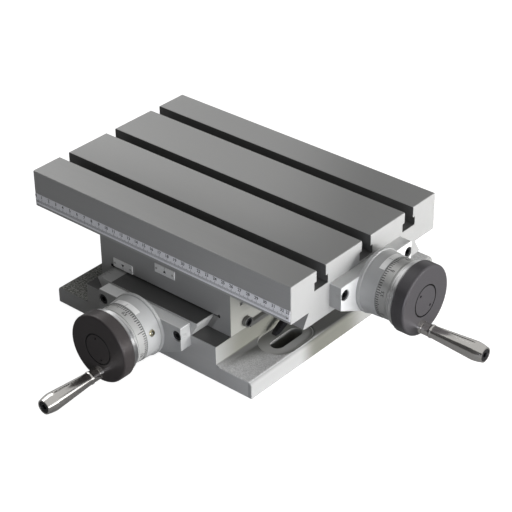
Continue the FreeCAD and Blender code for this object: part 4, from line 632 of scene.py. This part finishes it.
# %% [markdown]
# The table's top is ground. Painted shade darkens it towards its right end, painted light makes it
# paler at the back, and painted shade darkens its T-slots. Painted shade darkens the saddle's front
# and, a little less, its right side. The gap where the saddle straddles the rail is a black line, and
# the faces inside that gap are painted black as shade.

# %% Iron of the table and the saddle
SLOT_MIDDLE = -11.75 * MM
SLOT_PITCH = 65.7 * MM
SLOT_WALL = 6.7 * MM
SLOT_HEAD = 3.0 * MM
SLOT_SHOULDER = 112.1 * MM
SLOT_FLOOR = 103.0 * MM
SLOT_RIM = 122.9 * MM
TOP_SHADE_TO_RIGHT = (70.0 * MM, 75.0 * MM)
TOP_LIGHTENS = (-50.0 * MM, 30.0 * MM)
CAVITY_ROOF = 55.3 * MM
CAVITY_SIDE = 69.5 * MM
SADDLE_FRONT = -119.35 * MM
SADDLE_SIDE_SHADE = (0.86, 0.86, 0.80)
JOINT_AND_SHADE_BLACK = (0.004, 0.004, 0.004)


def inside_slots(tree, y, z):
    """1 on the walls and floors of the T-slots, 0 elsewhere on the table."""
    across = add_math(tree, "DIVIDE", minus(tree, y, SLOT_MIDDLE), SLOT_PITCH)
    from_nearest = minus(tree, across, add_math(tree, "ROUND", across))
    away = times(tree, size_of(tree, from_nearest), SLOT_PITCH)
    wall = plus(tree, times(tree, is_below(tree, z, SLOT_SHOULDER), SLOT_HEAD), SLOT_WALL)
    return times(tree, is_below(tree, away, wall), within(tree, z, SLOT_FLOOR, SLOT_RIM))


def table_looks(tree, place, iron):
    x, y, z = add_axes(tree, place)
    top = is_above(tree, z, SLOT_RIM)
    to_right = step_mask(tree, add_sum(tree, x, y, 0.5), *TOP_SHADE_TO_RIGHT)
    to_back = times(tree, minus(tree, 1.0, to_right), step_mask(tree, y, *TOP_LIGHTENS))
    # Painted shade towards the top's right end and painted light at its back.
    tones = add_mix(tree, times(tree, top, to_right), iron["tones"], tone(IRON, 0.74))
    tones = add_mix(tree, times(tree, top, to_back), tones, tone(IRON, 1.18))
    # Painted shade inside the T-slots.
    iron["tones"] = add_mix(tree, inside_slots(tree, y, z), tones, tone(IRON, 0.30))


def saddle_looks(tree, place, iron):
    x, y, z = add_axes(tree, place)
    aside = size_of(tree, x)
    inner = all_of(tree, is_below(tree, z, CAVITY_ROOF + 0.2 * MM),
                   is_below(tree, aside, BLOCK_SIDE - 0.5 * MM), is_above(tree, y, SADDLE_FRONT + 0.2 * MM))
    lip = times(tree, within(tree, z, CAVITY_ROOF - 0.1 * MM, CAVITY_ROOF + 0.35 * MM),
                is_below(tree, aside, CAVITY_SIDE))
    # Painted shade on the saddle's front and right side. The faces inside the gap are painted black as
    # shade, and the lip widens the joint's black line.
    tones = add_mix(tree, is_below(tree, y, SADDLE_FRONT + 0.3 * MM), iron["tones"], tone(IRON, 0.80))
    tones = add_mix(tree, is_above(tree, x, BLOCK_SIDE - 0.5 * MM), tones, iron_times(SADDLE_SIDE_SHADE))
    iron["tones"] = add_mix(tree, add_math(tree, "MAXIMUM", inner, lip), tones, JOINT_AND_SHADE_BLACK)


print("looks of the castings ready")


# %% [markdown]
# All three castings share the ground iron, with lines along the stroke of their slide. Each then
# changes the shared tones, roughness and height with its own looks.

# %% Cast iron
IRON_METALLIC = 0.18
IRON_LINES = 800.0
IRON_MOTTLE = 9.0
IRON_ROUGHNESS = (0.36, 0.52)
IRON_LINE_DEPTH = 0.08
IRON_BUMP = 0.10 * MM
ALONG_X = (0.05, 1.0, 1.0)
ALONG_Y = (1.0, 0.05, 1.0)


def make_iron(name, stretch, looks):
    material, tree, shader = new_material(name)
    plain, stretched = add_place(tree, stretch)
    lines = add_group(tree, GRINDING, stretched, "Fineness", IRON_LINES)
    mottle = add_group(tree, MOTTLE, plain, "Scale", IRON_MOTTLE).outputs["Shade"]
    line = add_group(tree, EDGE_HIGHLIGHT, None, "Strength", 2.0)
    tones = add_mix(tree, lines.outputs["Shade"], tone(IRON, 0.90), tone(IRON, 1.08))
    tones = add_mix(tree, times(tree, mottle, 0.4), tones, tone(IRON, 0.93))
    # Painted highlight: the iron's colour is lighter along edges.
    tones = add_mix(tree, times(tree, line.outputs["Mask"], 0.4), tones, tone(IRON, 1.5))
    iron = {"tones": tones, "mottle": mottle,
            "rough": add_range(tree, lines.outputs["Shade"], *IRON_ROUGHNESS),
            "height": times(tree, lines.outputs["Height"], IRON_LINE_DEPTH)}
    looks(tree, plain, iron)
    shader.inputs["Metallic"].default_value = IRON_METALLIC
    tree.links.new(iron["tones"], shader.inputs["Base Color"])
    tree.links.new(iron["rough"], shader.inputs["Roughness"])
    bump = add_bump(tree, iron["height"], IRON_BUMP, line.outputs["Normal"])
    tree.links.new(bump, shader.inputs["Normal"])
    return material


base_iron = make_iron("base_iron", ALONG_Y, base_looks)
saddle_iron = make_iron("saddle_iron", ALONG_X, saddle_looks)
table_iron = make_iron("table_iron", ALONG_X, table_looks)
print("iron ready")


# %% [markdown]
# The other finishes differ in colour, gloss and the way their lines run. Turned pieces carry lines
# round their axis, which a stretch along the two directions across the axis gives.

# %% Other finishes
ROUND = {"y": (0.02, 1.0, 0.02), "x": (1.0, 0.02, 0.02)}
# The two handwheels are alike: the x wheel's lighter, bluer colour is painted light from the right.
WHEEL_COLOUR_AND_PAINTED_LIGHT = {"y": (0.060, 0.053, 0.053), "x": (0.076, 0.072, 0.077)}
DIAL_GLOSS = {"y": (0.25, 0.46), "x": (0.65, 0.36)}
# Painted shade and light on each bracket's faces: factors for the ear ends, the plate front and the boss.
BRACKET_SHADE_AND_LIGHT = {"y": (0.58, 0.58, 0.62), "x": (0.50, 1.08, 0.60)}
CAP_RADIUS = 15.6 * MM
CAP_GROOVE = 0.75 * MM

finishes = {
    "black_oxide": make_finish("black_oxide", (0.022, 0.022, 0.024), 0.6, 0.36, fineness=700.0, contrast=0.2,
                               edge=0.35),
    "bronze": make_finish("bronze", (0.56, 0.40, 0.19), 1.0, 0.34, contrast=0.15, bump=0.006),
    "oiler_plate": make_finish("oiler_plate", (0.72, 0.66, 0.48), 1.0, 0.20, contrast=0.10),
    "plate": make_finish("index_plate", (0.80, 0.80, 0.79), 0.2, 0.38, ALONG_X, contrast=0.10, edge=0.3),
    "rule": make_finish("rule_strip", (0.90, 0.90, 0.93), 0.0, 0.42, ALONG_X, contrast=0.05, edge=0.2),
    "lever": make_finish("lever_steel", (0.15, 0.15, 0.145), 0.5, 0.34, fineness=500.0, contrast=0.2,
                         edge=0.4),
    "pin_steel": make_finish("pin_steel", (0.62, 0.62, 0.60), 1.0, 0.24, contrast=0.10),
    "gib": make_finish("ground_gib", (0.30, 0.30, 0.295), 0.6, 0.34, contrast=0.15, edge=0.3),
    "screw_steel": make_finish("screw_steel", (0.45, 0.45, 0.44), 1.0, 0.30, contrast=0.15),
    "ring_steel": make_finish("bearing_steel", (0.55, 0.55, 0.55), 1.0, 0.22, contrast=0.08),
    "ink": make_finish("black_ink", (0.012, 0.012, 0.013), 0.0, 0.6, contrast=0.2, bump=0.001),
}
for axis, stretch in ROUND.items():
    finishes.update({
        f"{axis}_enamel": make_finish(
            f"{axis}_enamel", (0.67, 0.675, 0.67), 0.0, 0.36, fineness=160.0, contrast=0.03,
            rough_spread=0.05, bump=0.02, edge=0.08, coat=0.10, faces_shade_and_light=(axis, *BRACKET_SHADE_AND_LIGHT[axis])),
        f"{axis}_dial": make_finish(
            f"{axis}_satin_dial", (0.44, 0.44, 0.43), *DIAL_GLOSS[axis], stretch, fineness=2200.0),
        f"{axis}_polish": make_finish(
            f"{axis}_polished_ring", (0.68, 0.68, 0.68), 1.0, 0.32, stretch, fineness=2200.0, contrast=0.08,
            bump=0.002),
        f"{axis}_wheel": make_finish(
            f"{axis}_dark_wheel", WHEEL_COLOUR_AND_PAINTED_LIGHT[axis], 0.4, 0.36, stretch, fineness=1500.0, rough_spread=0.05,
            edge=0.6, groove=(AXIS_PLACE[axis], axis, CAP_RADIUS, CAP_GROOVE)),
        f"{axis}_chrome": make_finish(
            f"{axis}_chrome", (0.74, 0.72, 0.69), 1.0, 0.15, stretch, fineness=1800.0, contrast=0.04,
            rough_spread=0.02, bump=0.0002),
    })
print("finishes", len(finishes))


# %% [markdown]
# Each machined piece gets its finish by name. Most pieces come once for each screw: one table names
# the finishes that both screws share, and the other those with a version for each screw's direction.

# %% Dress the machined pieces
def wear(node_name, material):
    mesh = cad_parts[node_name].data
    mesh.materials.clear()
    mesh.materials.append(material)


wear("base_casting", base_iron)
wear("saddle_casting", saddle_iron)
wear("table_casting", table_iron)
SHARED_FINISH = {
    "bracket_screws": "black_oxide", "bearing_outer_rings": "ring_steel",
    "bearing_inner_rings": "ring_steel", "retaining_ring": "black_oxide", "oiler_body": "oiler_plate",
    "oiler_ball": "pin_steel", "screw": "screw_steel", "drive_key": "pin_steel", "end_nut": "pin_steel",
    "handle_screw": "black_oxide", "nut": "bronze", "nut_screws": "black_oxide", "gib": "gib",
    "gib_screws": "black_oxide", "gib_lock_nuts": "black_oxide", "lock_screw": "black_oxide",
    "lock_arm": "lever", "lock_plug": "bronze", "index_plate": "plate",
}
OWN_FINISH = {
    "bracket": "enamel", "dial_hub": "polish", "dial_ring": "dial", "handwheel": "wheel",
    "hub_cap": "wheel", "handle_stud": "chrome", "handle_grip": "chrome",
}
for axis in ("y", "x"):
    for piece, finish in SHARED_FINISH.items():
        wear(f"{axis}_{piece}", finishes[finish])
    for piece, finish in OWN_FINISH.items():
        wear(f"{axis}_{piece}", finishes[f"{axis}_{finish}"])
wear("index_plate_pins", finishes["pin_steel"])
wear("table_rule", finishes["rule"])
wear("rule_pins", finishes["pin_steel"])
bare = [name for name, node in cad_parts.items() if not node.data.materials]
print("undressed nodes", bare)


# %% [markdown]
# Graduations are thin raised ink. A stroke is a cube squeezed to a line, and one bmesh holds all
# the strokes of a scale. Numerals start as text, become a mesh, and are then carried to their
# place point by point, so that on a dial they can follow the curve.

# %% Ink helpers
INK_PROUD = 0.08 * MM
INK_BOLD = 0.05 * MM
FONT_SIZE = 1.38
BRACKET_BODY = {"y": "base", "x": "table"}


def make_object(name, shape, material):
    mesh = bpy.data.meshes.new(name)
    shape.to_mesh(mesh)
    shape.free()
    mesh.materials.append(material)
    made = bpy.data.objects.new(name, mesh)
    bpy.context.scene.collection.objects.link(made)
    return made


def finish_piece(name, shape, material, body):
    piece = make_object(name, shape, material)
    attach(piece, body)
    return piece


def add_block(shape, low, high, carry=None):
    """A block between two corners, whose corners may then be carried elsewhere by a function."""
    middle = (low + high) / 2
    size = high - low
    for vert in bmesh.ops.create_cube(shape, size=1.0)["verts"]:
        place = Vector(middle[k] + vert.co[k] * size[k] for k in range(3))
        vert.co = carry(place) if carry else place


def extrude(shape, faces, by):
    grown = bmesh.ops.extrude_face_region(shape, geom=faces)["geom"]
    verts = [part for part in grown if isinstance(part, bmesh.types.BMVert)]
    bmesh.ops.translate(shape, vec=by, verts=verts)


def stroke_length(strokes, step):
    """The length of a step's stroke, by the largest unit that divides the step."""
    return next(length for unit, length in strokes.items() if step % unit == 0)


def add_words(shape, words, height, carry):
    """Text of a height, centred on zero: x along the line, z up it, y out of the surface."""
    curve = bpy.data.curves.new("words", "FONT")
    curve.body = words
    curve.size = height * FONT_SIZE
    curve.align_x = "CENTER"
    curve.align_y = "CENTER"
    curve.resolution_u = 3
    curve.extrude = INK_PROUD / 2
    curve.offset = INK_BOLD
    holder = bpy.data.objects.new("words", curve)
    bpy.context.scene.collection.objects.link(holder)
    mesh = bpy.data.meshes.new_from_object(holder.evaluated_get(bpy.context.evaluated_depsgraph_get()))
    for vert in mesh.vertices:
        vert.co = carry(Vector((vert.co.x, -vert.co.z, vert.co.y)))
    shape.from_mesh(mesh)
    bpy.data.objects.remove(holder)
    bpy.data.curves.remove(curve)
    bpy.data.meshes.remove(mesh)


print("ink is", INK_PROUD / MM, "mm proud")


# %% [markdown]
# The rule on the table's front is numbered in centimetres from its left end, with a stroke for
# each millimetre, longer at fives and tens. The numbers stand above the strokes, and the first and
# the last are nudged inwards to stay on the strip.

# %% Rule on the table
RULE_BEFORE_ZERO = 1.0 * MM
RULE_BASELINE = 2.3 * MM
RULE_STROKES = {10: 4.6 * MM, 5: 3.4 * MM, 1: 2.4 * MM}
RULE_STROKE_WIDTH = 0.24 * MM
RULE_FIGURE = 3.3 * MM
RULE_FIGURE_ROW = 2.4 * MM
RULE_LAST = 33
RULE_NUDGES = {0: 1.9 * MM, RULE_LAST: -3.4 * MM}


def make_table_rule():
    low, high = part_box("table_rule")
    face = low.y
    zero = low.x - RULE_BEFORE_ZERO
    span = round((high.x - low.x) / MM)
    shape = bmesh.new()
    for step in range(2, span):
        length = stroke_length(RULE_STROKES, step)
        x = zero + step * MM
        add_block(shape, Vector((x - RULE_STROKE_WIDTH / 2, face - INK_PROUD, low.z + RULE_BASELINE)),
                  Vector((x + RULE_STROKE_WIDTH / 2, face, low.z + RULE_BASELINE + length)))
    row = high.z - RULE_FIGURE_ROW
    for number in range(RULE_LAST + 1):
        x = zero + number * 10 * MM + RULE_NUDGES.get(number, 0.0)
        add_words(shape, str(number), RULE_FIGURE,
                  lambda p, x=x: Vector((x + p.x, face - INK_PROUD / 2 + p.y, row + p.z)))
    return finish_piece("table_rule_ink", shape, finishes["ink"], "table")


rule_ink = make_table_rule()
print("rule ink triangles", len(rule_ink.data.polygons))


# %% [markdown]
# Both dials have eighty divisions of five hundredths of a millimetre, one turn being four. The
# strokes start at the seam with the bracket's boss. A point of the flat pattern is rolled on to
# the dial: its length along the rim becomes an angle.

# %% Dials
DIAL_RADIUS = 29.8 * MM
DIAL_START = 33.8 * MM
DIAL_DIVISIONS = 80
DIAL_PER_MM = 20
DIAL_SEAM = 0.15 * MM
DIAL_STROKES = {10: 5.0 * MM, 5: 4.4 * MM, 1: 3.4 * MM}
DIAL_STROKE_WIDTH = 0.72 * MM
DIAL_FIGURE = 3.3 * MM
DIAL_FIGURE_ROW = 6.9 * MM
DIAL_ZERO = {"y": math.radians(118.0), "x": math.radians(116.0)}


def outwards(axis, across, out, up):
    """A point from a screw's own measures: across, outwards from the casting, and up."""
    if axis == "y":
        return AXIS_PLACE["y"] + Vector((across, -out, up))
    return AXIS_PLACE["x"] + Vector((out, across, up))


def rolled(axis, zero, radius):
    """Carries a flat pattern on to a cylinder: x round it, z from the row towards the boss."""
    def carry(place):
        angle = zero - place.x / radius
        reach = radius - place.y
        return outwards(axis, reach * math.cos(angle), place.z, reach * math.sin(angle))
    return carry


def make_dial_ink(axis):
    shape = bmesh.new()
    for step in range(DIAL_DIVISIONS):
        length = stroke_length(DIAL_STROKES, step)
        zero = DIAL_ZERO[axis] - step * math.tau / DIAL_DIVISIONS
        add_block(shape, Vector((-DIAL_STROKE_WIDTH / 2, -INK_PROUD, DIAL_START + DIAL_SEAM)),
                  Vector((DIAL_STROKE_WIDTH / 2, 0.0, DIAL_START + length)), rolled(axis, zero, DIAL_RADIUS))
        if step % 10 == 0:
            carry = rolled(axis, zero, DIAL_RADIUS + INK_PROUD / 2)
            row = DIAL_START + DIAL_FIGURE_ROW
            figure = f"{step / DIAL_PER_MM:.1f}".replace(".0", "")
            add_words(shape, figure, DIAL_FIGURE, lambda p: carry(Vector((p.x, p.y, row - p.z))))
    bmesh.ops.recalc_face_normals(shape, faces=shape.faces)
    return finish_piece(f"{axis}_dial_ink", shape, finishes["ink"], f"{axis}_dial")


for axis in ("y", "x"):
    print(make_dial_ink(axis).name)


# %% [markdown]
# Beside each dial the boss carries a small bare plate with the zero line that the dial is read
# against. It is a grid bent to the boss and given a thickness.

# %% Zero plates
PLATE_ARC = 28.0 * MM
PLATE_WIDTH = 6.0 * MM
PLATE_THICK = 0.35 * MM
PLATE_END = 33.0 * MM
PLATE_RADIUS = (30.25 + 0.12) * MM
ZERO_LINE_HALF = 0.2 * MM
ZERO_LINE_LENGTH = 4.5 * MM
ZERO_LINE_FOOT = -0.1 * MM
PLATE_ANGLE = {"y": math.radians(86.0), "x": math.radians(95.0)}


def make_zero_plate(axis):
    shape = bmesh.new()
    bmesh.ops.create_grid(shape, x_segments=12, y_segments=1, size=0.5)
    carry = rolled(axis, PLATE_ANGLE[axis], PLATE_RADIUS)
    for vert in shape.verts:
        along = PLATE_END - PLATE_WIDTH / 2 + vert.co.y * PLATE_WIDTH
        vert.co = carry(Vector((vert.co.x * PLATE_ARC, 0.0, along)))
    bmesh.ops.recalc_face_normals(shape, faces=shape.faces)
    bmesh.ops.solidify(shape, geom=shape.faces[:], thickness=PLATE_THICK)
    bmesh.ops.recalc_face_normals(shape, faces=shape.faces)
    body = BRACKET_BODY[axis]
    plate = finish_piece(f"{axis}_zero_plate", shape, finishes["plate"], body)
    line = bmesh.new()
    add_block(line, Vector((-ZERO_LINE_HALF, -PLATE_THICK, PLATE_END - ZERO_LINE_LENGTH)),
              Vector((ZERO_LINE_HALF, ZERO_LINE_FOOT, PLATE_END)), carry)
    finish_piece(f"{axis}_zero_line", line, finishes["ink"], body)
    return plate


for axis in ("y", "x"):
    print(make_zero_plate(axis).name)


# %% [markdown]
# The index plates on the saddle carry a triangle each: one points down at the scale of the lower
# slide, and the other points up at the rule. A line goes on from its tip to the plate's edge.

# %% Index marks
MARK_HALF = 1.8 * MM
MARK_HEIGHT = 2.9 * MM
MARK_LINE_FROM = 1.8 * MM
MARK_LINE_HALF = 0.15 * MM


def make_index_mark(plate, points_up):
    low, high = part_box(plate)
    middle = (low + high) / 2
    face = low.y
    turn = 1.0 if points_up else -1.0
    shape = bmesh.new()
    bmesh.ops.create_circle(shape, cap_ends=True, segments=3, radius=1.0)
    corners = ((-MARK_HALF, -MARK_HEIGHT / 2), (MARK_HALF, -MARK_HEIGHT / 2), (0.0, MARK_HEIGHT / 2))
    for vert, (across, up) in zip(shape.verts, corners):
        vert.co = Vector((middle.x + across, face, middle.z + up * turn))
    extrude(shape, shape.faces[:], Vector((0.0, -INK_PROUD, 0.0)))
    if points_up:
        line_low, line_high = middle.z + MARK_LINE_FROM, high.z
    else:
        line_low, line_high = low.z, middle.z - MARK_LINE_FROM
    add_block(shape, Vector((middle.x - MARK_LINE_HALF, face - INK_PROUD, line_low)),
              Vector((middle.x + MARK_LINE_HALF, face, line_high)))
    bmesh.ops.recalc_face_normals(shape, faces=shape.faces)
    return finish_piece(f"{plate}_mark", shape, finishes["ink"], "saddle")


make_index_mark("y_index_plate", points_up=False)
make_index_mark("x_index_plate", points_up=True)
print("index marks ready")


# %% [markdown]
# The pockets for the bracket screws come so near the ends of the ears that they leave no wall
# there. A sliver with the ear's rounded front edge closes each pocket's side, drawn from above and
# extruded upwards.

# %% Walls beside the screw pockets
EAR_SLIVER = ((52.85, 6.6), (53.19, 6.6), (53.19, 12.64), (53.05, 13.03), (52.85, 13.26))
EAR_WALL_RISE = 6.8 * MM
EAR_WALL_HALF = 2.45 * MM


def make_ear_walls(axis):
    shape = bmesh.new()
    bottom = EAR_WALL_RISE - EAR_WALL_HALF
    for side in (-1, 1):
        outline = [shape.verts.new(outwards(axis, side * across * MM, out * MM, bottom))
                   for across, out in EAR_SLIVER]
        extrude(shape, [shape.faces.new(outline)], Vector((0.0, 0.0, 2 * EAR_WALL_HALF)))
    bmesh.ops.recalc_face_normals(shape, faces=shape.faces)
    return finish_piece(f"{axis}_ear_walls", shape, finishes[f"{axis}_enamel"], BRACKET_BODY[axis])


for axis in ("y", "x"):
    print(make_ear_walls(axis).name)


# %% [markdown]
# A second locking lever hangs from the saddle's right side, nearly hidden under the table's corner.
# Its arm is a flat bar with a slanted end, drawn in side view and extruded along its screw. Its hub
# and the screw's head are discs about the same line: a radius, a start and an end in millimetres.

# %% Second lever of the lower slide
LEVER_PIVOT = Vector((84.0, -21.0, 46.4)) * MM
LEVER_TILT = math.radians(30.0)
LEVER_INNER = 7.2 * MM
LEVER_OUTER = 13.0 * MM
LEVER_SIDE = ((0.0, 4.4), (53.0, 3.6), (56.6, 1.4), (52.4, -1.9), (40.0, -3.6), (0.0, -4.4))
LEVER_TURNED = ((6.2, 0.0, 14.6), (4.2, 14.6, 18.0))
LEVER_ROUND = 0.5 * MM
SOCKET_RADIUS = 2.3 * MM
SOCKET_DEPTH = 0.1 * MM


def round_edges(shape, edges):
    bmesh.ops.bevel(shape, geom=edges, offset=LEVER_ROUND, segments=2, affect="EDGES")


def make_second_lever():
    shape = bmesh.new()
    along = Vector((0.0, -math.cos(LEVER_TILT), -math.sin(LEVER_TILT)))
    up = Vector((0.0, -math.sin(LEVER_TILT), math.cos(LEVER_TILT)))
    inner = LEVER_PIVOT + Vector((LEVER_INNER, 0.0, 0.0))
    outline = [shape.verts.new(inner + along * (a * MM) + up * (b * MM)) for a, b in LEVER_SIDE]
    extrude(shape, [shape.faces.new(outline)], Vector((LEVER_OUTER - LEVER_INNER, 0.0, 0.0)))
    bmesh.ops.recalc_face_normals(shape, faces=shape.faces)
    round_edges(shape, shape.edges[:])
    lie = Matrix.Rotation(math.radians(90.0), 4, "Y")
    for radius, start, end in LEVER_TURNED:
        middle = LEVER_PIVOT + Vector(((start + end) / 2 * MM, 0.0, 0.0))
        disc = bmesh.ops.create_cone(
            shape, cap_ends=True, segments=40, radius1=radius * MM, radius2=radius * MM,
            depth=(end - start) * MM, matrix=Matrix.Translation(middle) @ lie)["verts"]
        edges = {edge for vert in disc for edge in vert.link_edges}
        round_edges(shape, [edge for edge in edges if edge.calc_face_angle(0.0) > 1.0])
    lever = finish_piece("y_second_lock_lever", shape, finishes["black_oxide"], "saddle")
    face = LEVER_PIVOT.x + LEVER_TURNED[-1][2] * MM
    # A thin black hexagon on the screw's head stands in for its socket as painted shade.
    mark = bmesh.new()
    middle = Vector((face, *LEVER_PIVOT.yz))
    bmesh.ops.create_cone(mark, cap_ends=True, segments=6, radius1=SOCKET_RADIUS, radius2=SOCKET_RADIUS,
                          depth=SOCKET_DEPTH, matrix=Matrix.Translation(middle) @ lie)
    finish_piece("y_second_lock_socket_shade", mark, finishes["ink"], "saddle")
    return lever


print("second lever", [round(c / MM, 1) for c in make_second_lever().dimensions])


# %% [markdown]
# The floor is pale. Cameras see it close to white, with the soft shadow of the table kept, and
# everything else sees a plain grey floor, so that it doesn't throw too much light back up.

# %% Floor
FLOOR_HALF = 6.0
FLOOR_SHADE = 0.40
FLOOR_GLOW = 0.90


def make_floor():
    shape = bmesh.new()
    bmesh.ops.create_grid(shape, x_segments=1, y_segments=1, size=FLOOR_HALF)
    material, tree = empty_material("studio_floor")
    paper = tree.nodes.new("ShaderNodeBsdfDiffuse")
    paper.inputs["Color"].default_value = (FLOOR_SHADE, FLOOR_SHADE, FLOOR_SHADE, 1.0)
    glow = tree.nodes.new("ShaderNodeEmission")
    glow.inputs["Color"].default_value = (1.0, 1.0, 1.0, 1.0)
    glow.inputs["Strength"].default_value = FLOOR_GLOW
    both = tree.nodes.new("ShaderNodeAddShader")
    tree.links.new(paper.outputs[0], both.inputs[0])
    tree.links.new(glow.outputs[0], both.inputs[1])
    path = tree.nodes.new("ShaderNodeLightPath")
    choose = tree.nodes.new("ShaderNodeMixShader")
    tree.links.new(path.outputs["Is Camera Ray"], choose.inputs[0])
    tree.links.new(paper.outputs[0], choose.inputs[1])
    tree.links.new(both.outputs[0], choose.inputs[2])
    set_surface(tree, choose)
    floor = make_object("studio_floor", shape, material)


make_floor()
print("floor ready")


# %% [markdown]
# A wide lamp on the right makes the right-hand faces nearly white. Polished metal doesn't see that
# lamp, but a larger even card in its place. A small lamp above the left end lights the top so that
# it fades to the right, and a cool one low at the front lifts the shaded corner. One dark card keeps
# the front faces in shade, and another at the back is there only to be mirrored. Cameras see no
# card, and a white sky. Polished metal sees a paler sky than the low light that falls on the rest.

# %% Lamps and world
KEY_AIM = (0.05, 0.0, 0.07)


def add_lamp(name, place, aim, size, power, colour=(1.0, 1.0, 1.0)):
    lamp = bpy.data.lights.new(name, "AREA")
    lamp.shape = "RECTANGLE"
    lamp.size, lamp.size_y = size
    lamp.energy = power
    lamp.color = colour
    holder = bpy.data.objects.new(name, lamp)
    holder.location = place
    holder.rotation_euler = (Vector(aim) - Vector(place)).to_track_quat("-Z", "Y").to_euler()
    bpy.context.scene.collection.objects.link(holder)
    return holder


def add_card(name, place, aim, size, shade=0.0, glow=0.0, only_mirrored=False):
    """A card of a grey shade, or one that glows."""
    shape = bmesh.new()
    bmesh.ops.create_grid(shape, x_segments=1, y_segments=1, size=0.5)
    turn = (Vector(aim) - Vector(place)).to_track_quat("Z", "Y").to_matrix()
    for vert in shape.verts:
        vert.co = Vector(place) + turn @ Vector((vert.co.x * size[0], vert.co.y * size[1], 0.0))
    material, tree = empty_material(name)
    if glow > 0.0:
        surface = tree.nodes.new("ShaderNodeEmission")
        surface.inputs["Strength"].default_value = glow
    else:
        surface = tree.nodes.new("ShaderNodeBsdfDiffuse")
        surface.inputs["Color"].default_value = (shade, shade, shade, 1.0)
    set_surface(tree, surface)
    card = make_object(name, shape, material)
    card.visible_camera = False
    card.visible_shadow = False
    card.visible_diffuse = not only_mirrored


def make_world(ambient, mirrored):
    world = bpy.data.worlds.new("studio")
    bpy.context.scene.world = world
    world.use_nodes = True
    tree = world.node_tree
    tree.nodes.clear()
    path = tree.nodes.new("ShaderNodeLightPath")
    glossy = times(tree, path.outputs["Is Glossy Ray"], mirrored - ambient)
    plain = plus(tree, glossy, ambient)
    sky = tree.nodes.new("ShaderNodeBackground")
    sky.inputs["Color"].default_value = (1.0, 1.0, 1.0, 1.0)
    tree.links.new(add_math(tree, "MAXIMUM", plain, path.outputs["Is Camera Ray"]), sky.inputs["Strength"])
    output = tree.nodes.new("ShaderNodeOutputWorld")
    tree.links.new(sky.outputs[0], output.inputs["Surface"])


make_world(ambient=0.25, mirrored=0.60)
right_key = add_lamp("right_key", place=(1.45, 0.30, 0.14), aim=KEY_AIM, size=(1.4, 0.5), power=50.0)
right_key.visible_glossy = False
add_card("mirrored_key", place=(1.46, 0.30, 0.16), aim=KEY_AIM, size=(1.6, 0.6), glow=2.4,
         only_mirrored=True)
add_lamp("left_top", place=(-0.62, 0.10, 0.75), aim=(-0.10, 0.0, 0.12), size=(0.5, 0.5), power=2.6)
add_lamp("front_fill", place=(0.50, -0.52, 0.08), aim=(0.08, -0.14, 0.04), size=(0.5, 0.3), power=1.4,
         colour=(0.88, 0.91, 1.0))
add_card("front_shade", place=(-0.25, -1.3, 0.45), aim=(0.0, 0.0, 0.25), size=(2.4, 1.3), shade=0.10)
add_card("mirrored_dark", place=(-0.85, 0.85, 0.90), aim=(0.1, -0.1, 0.03), size=(0.9, 0.5), shade=0.02,
         only_mirrored=True)
bpy.context.scene.view_settings.view_transform = "Standard"
print("studio ready")
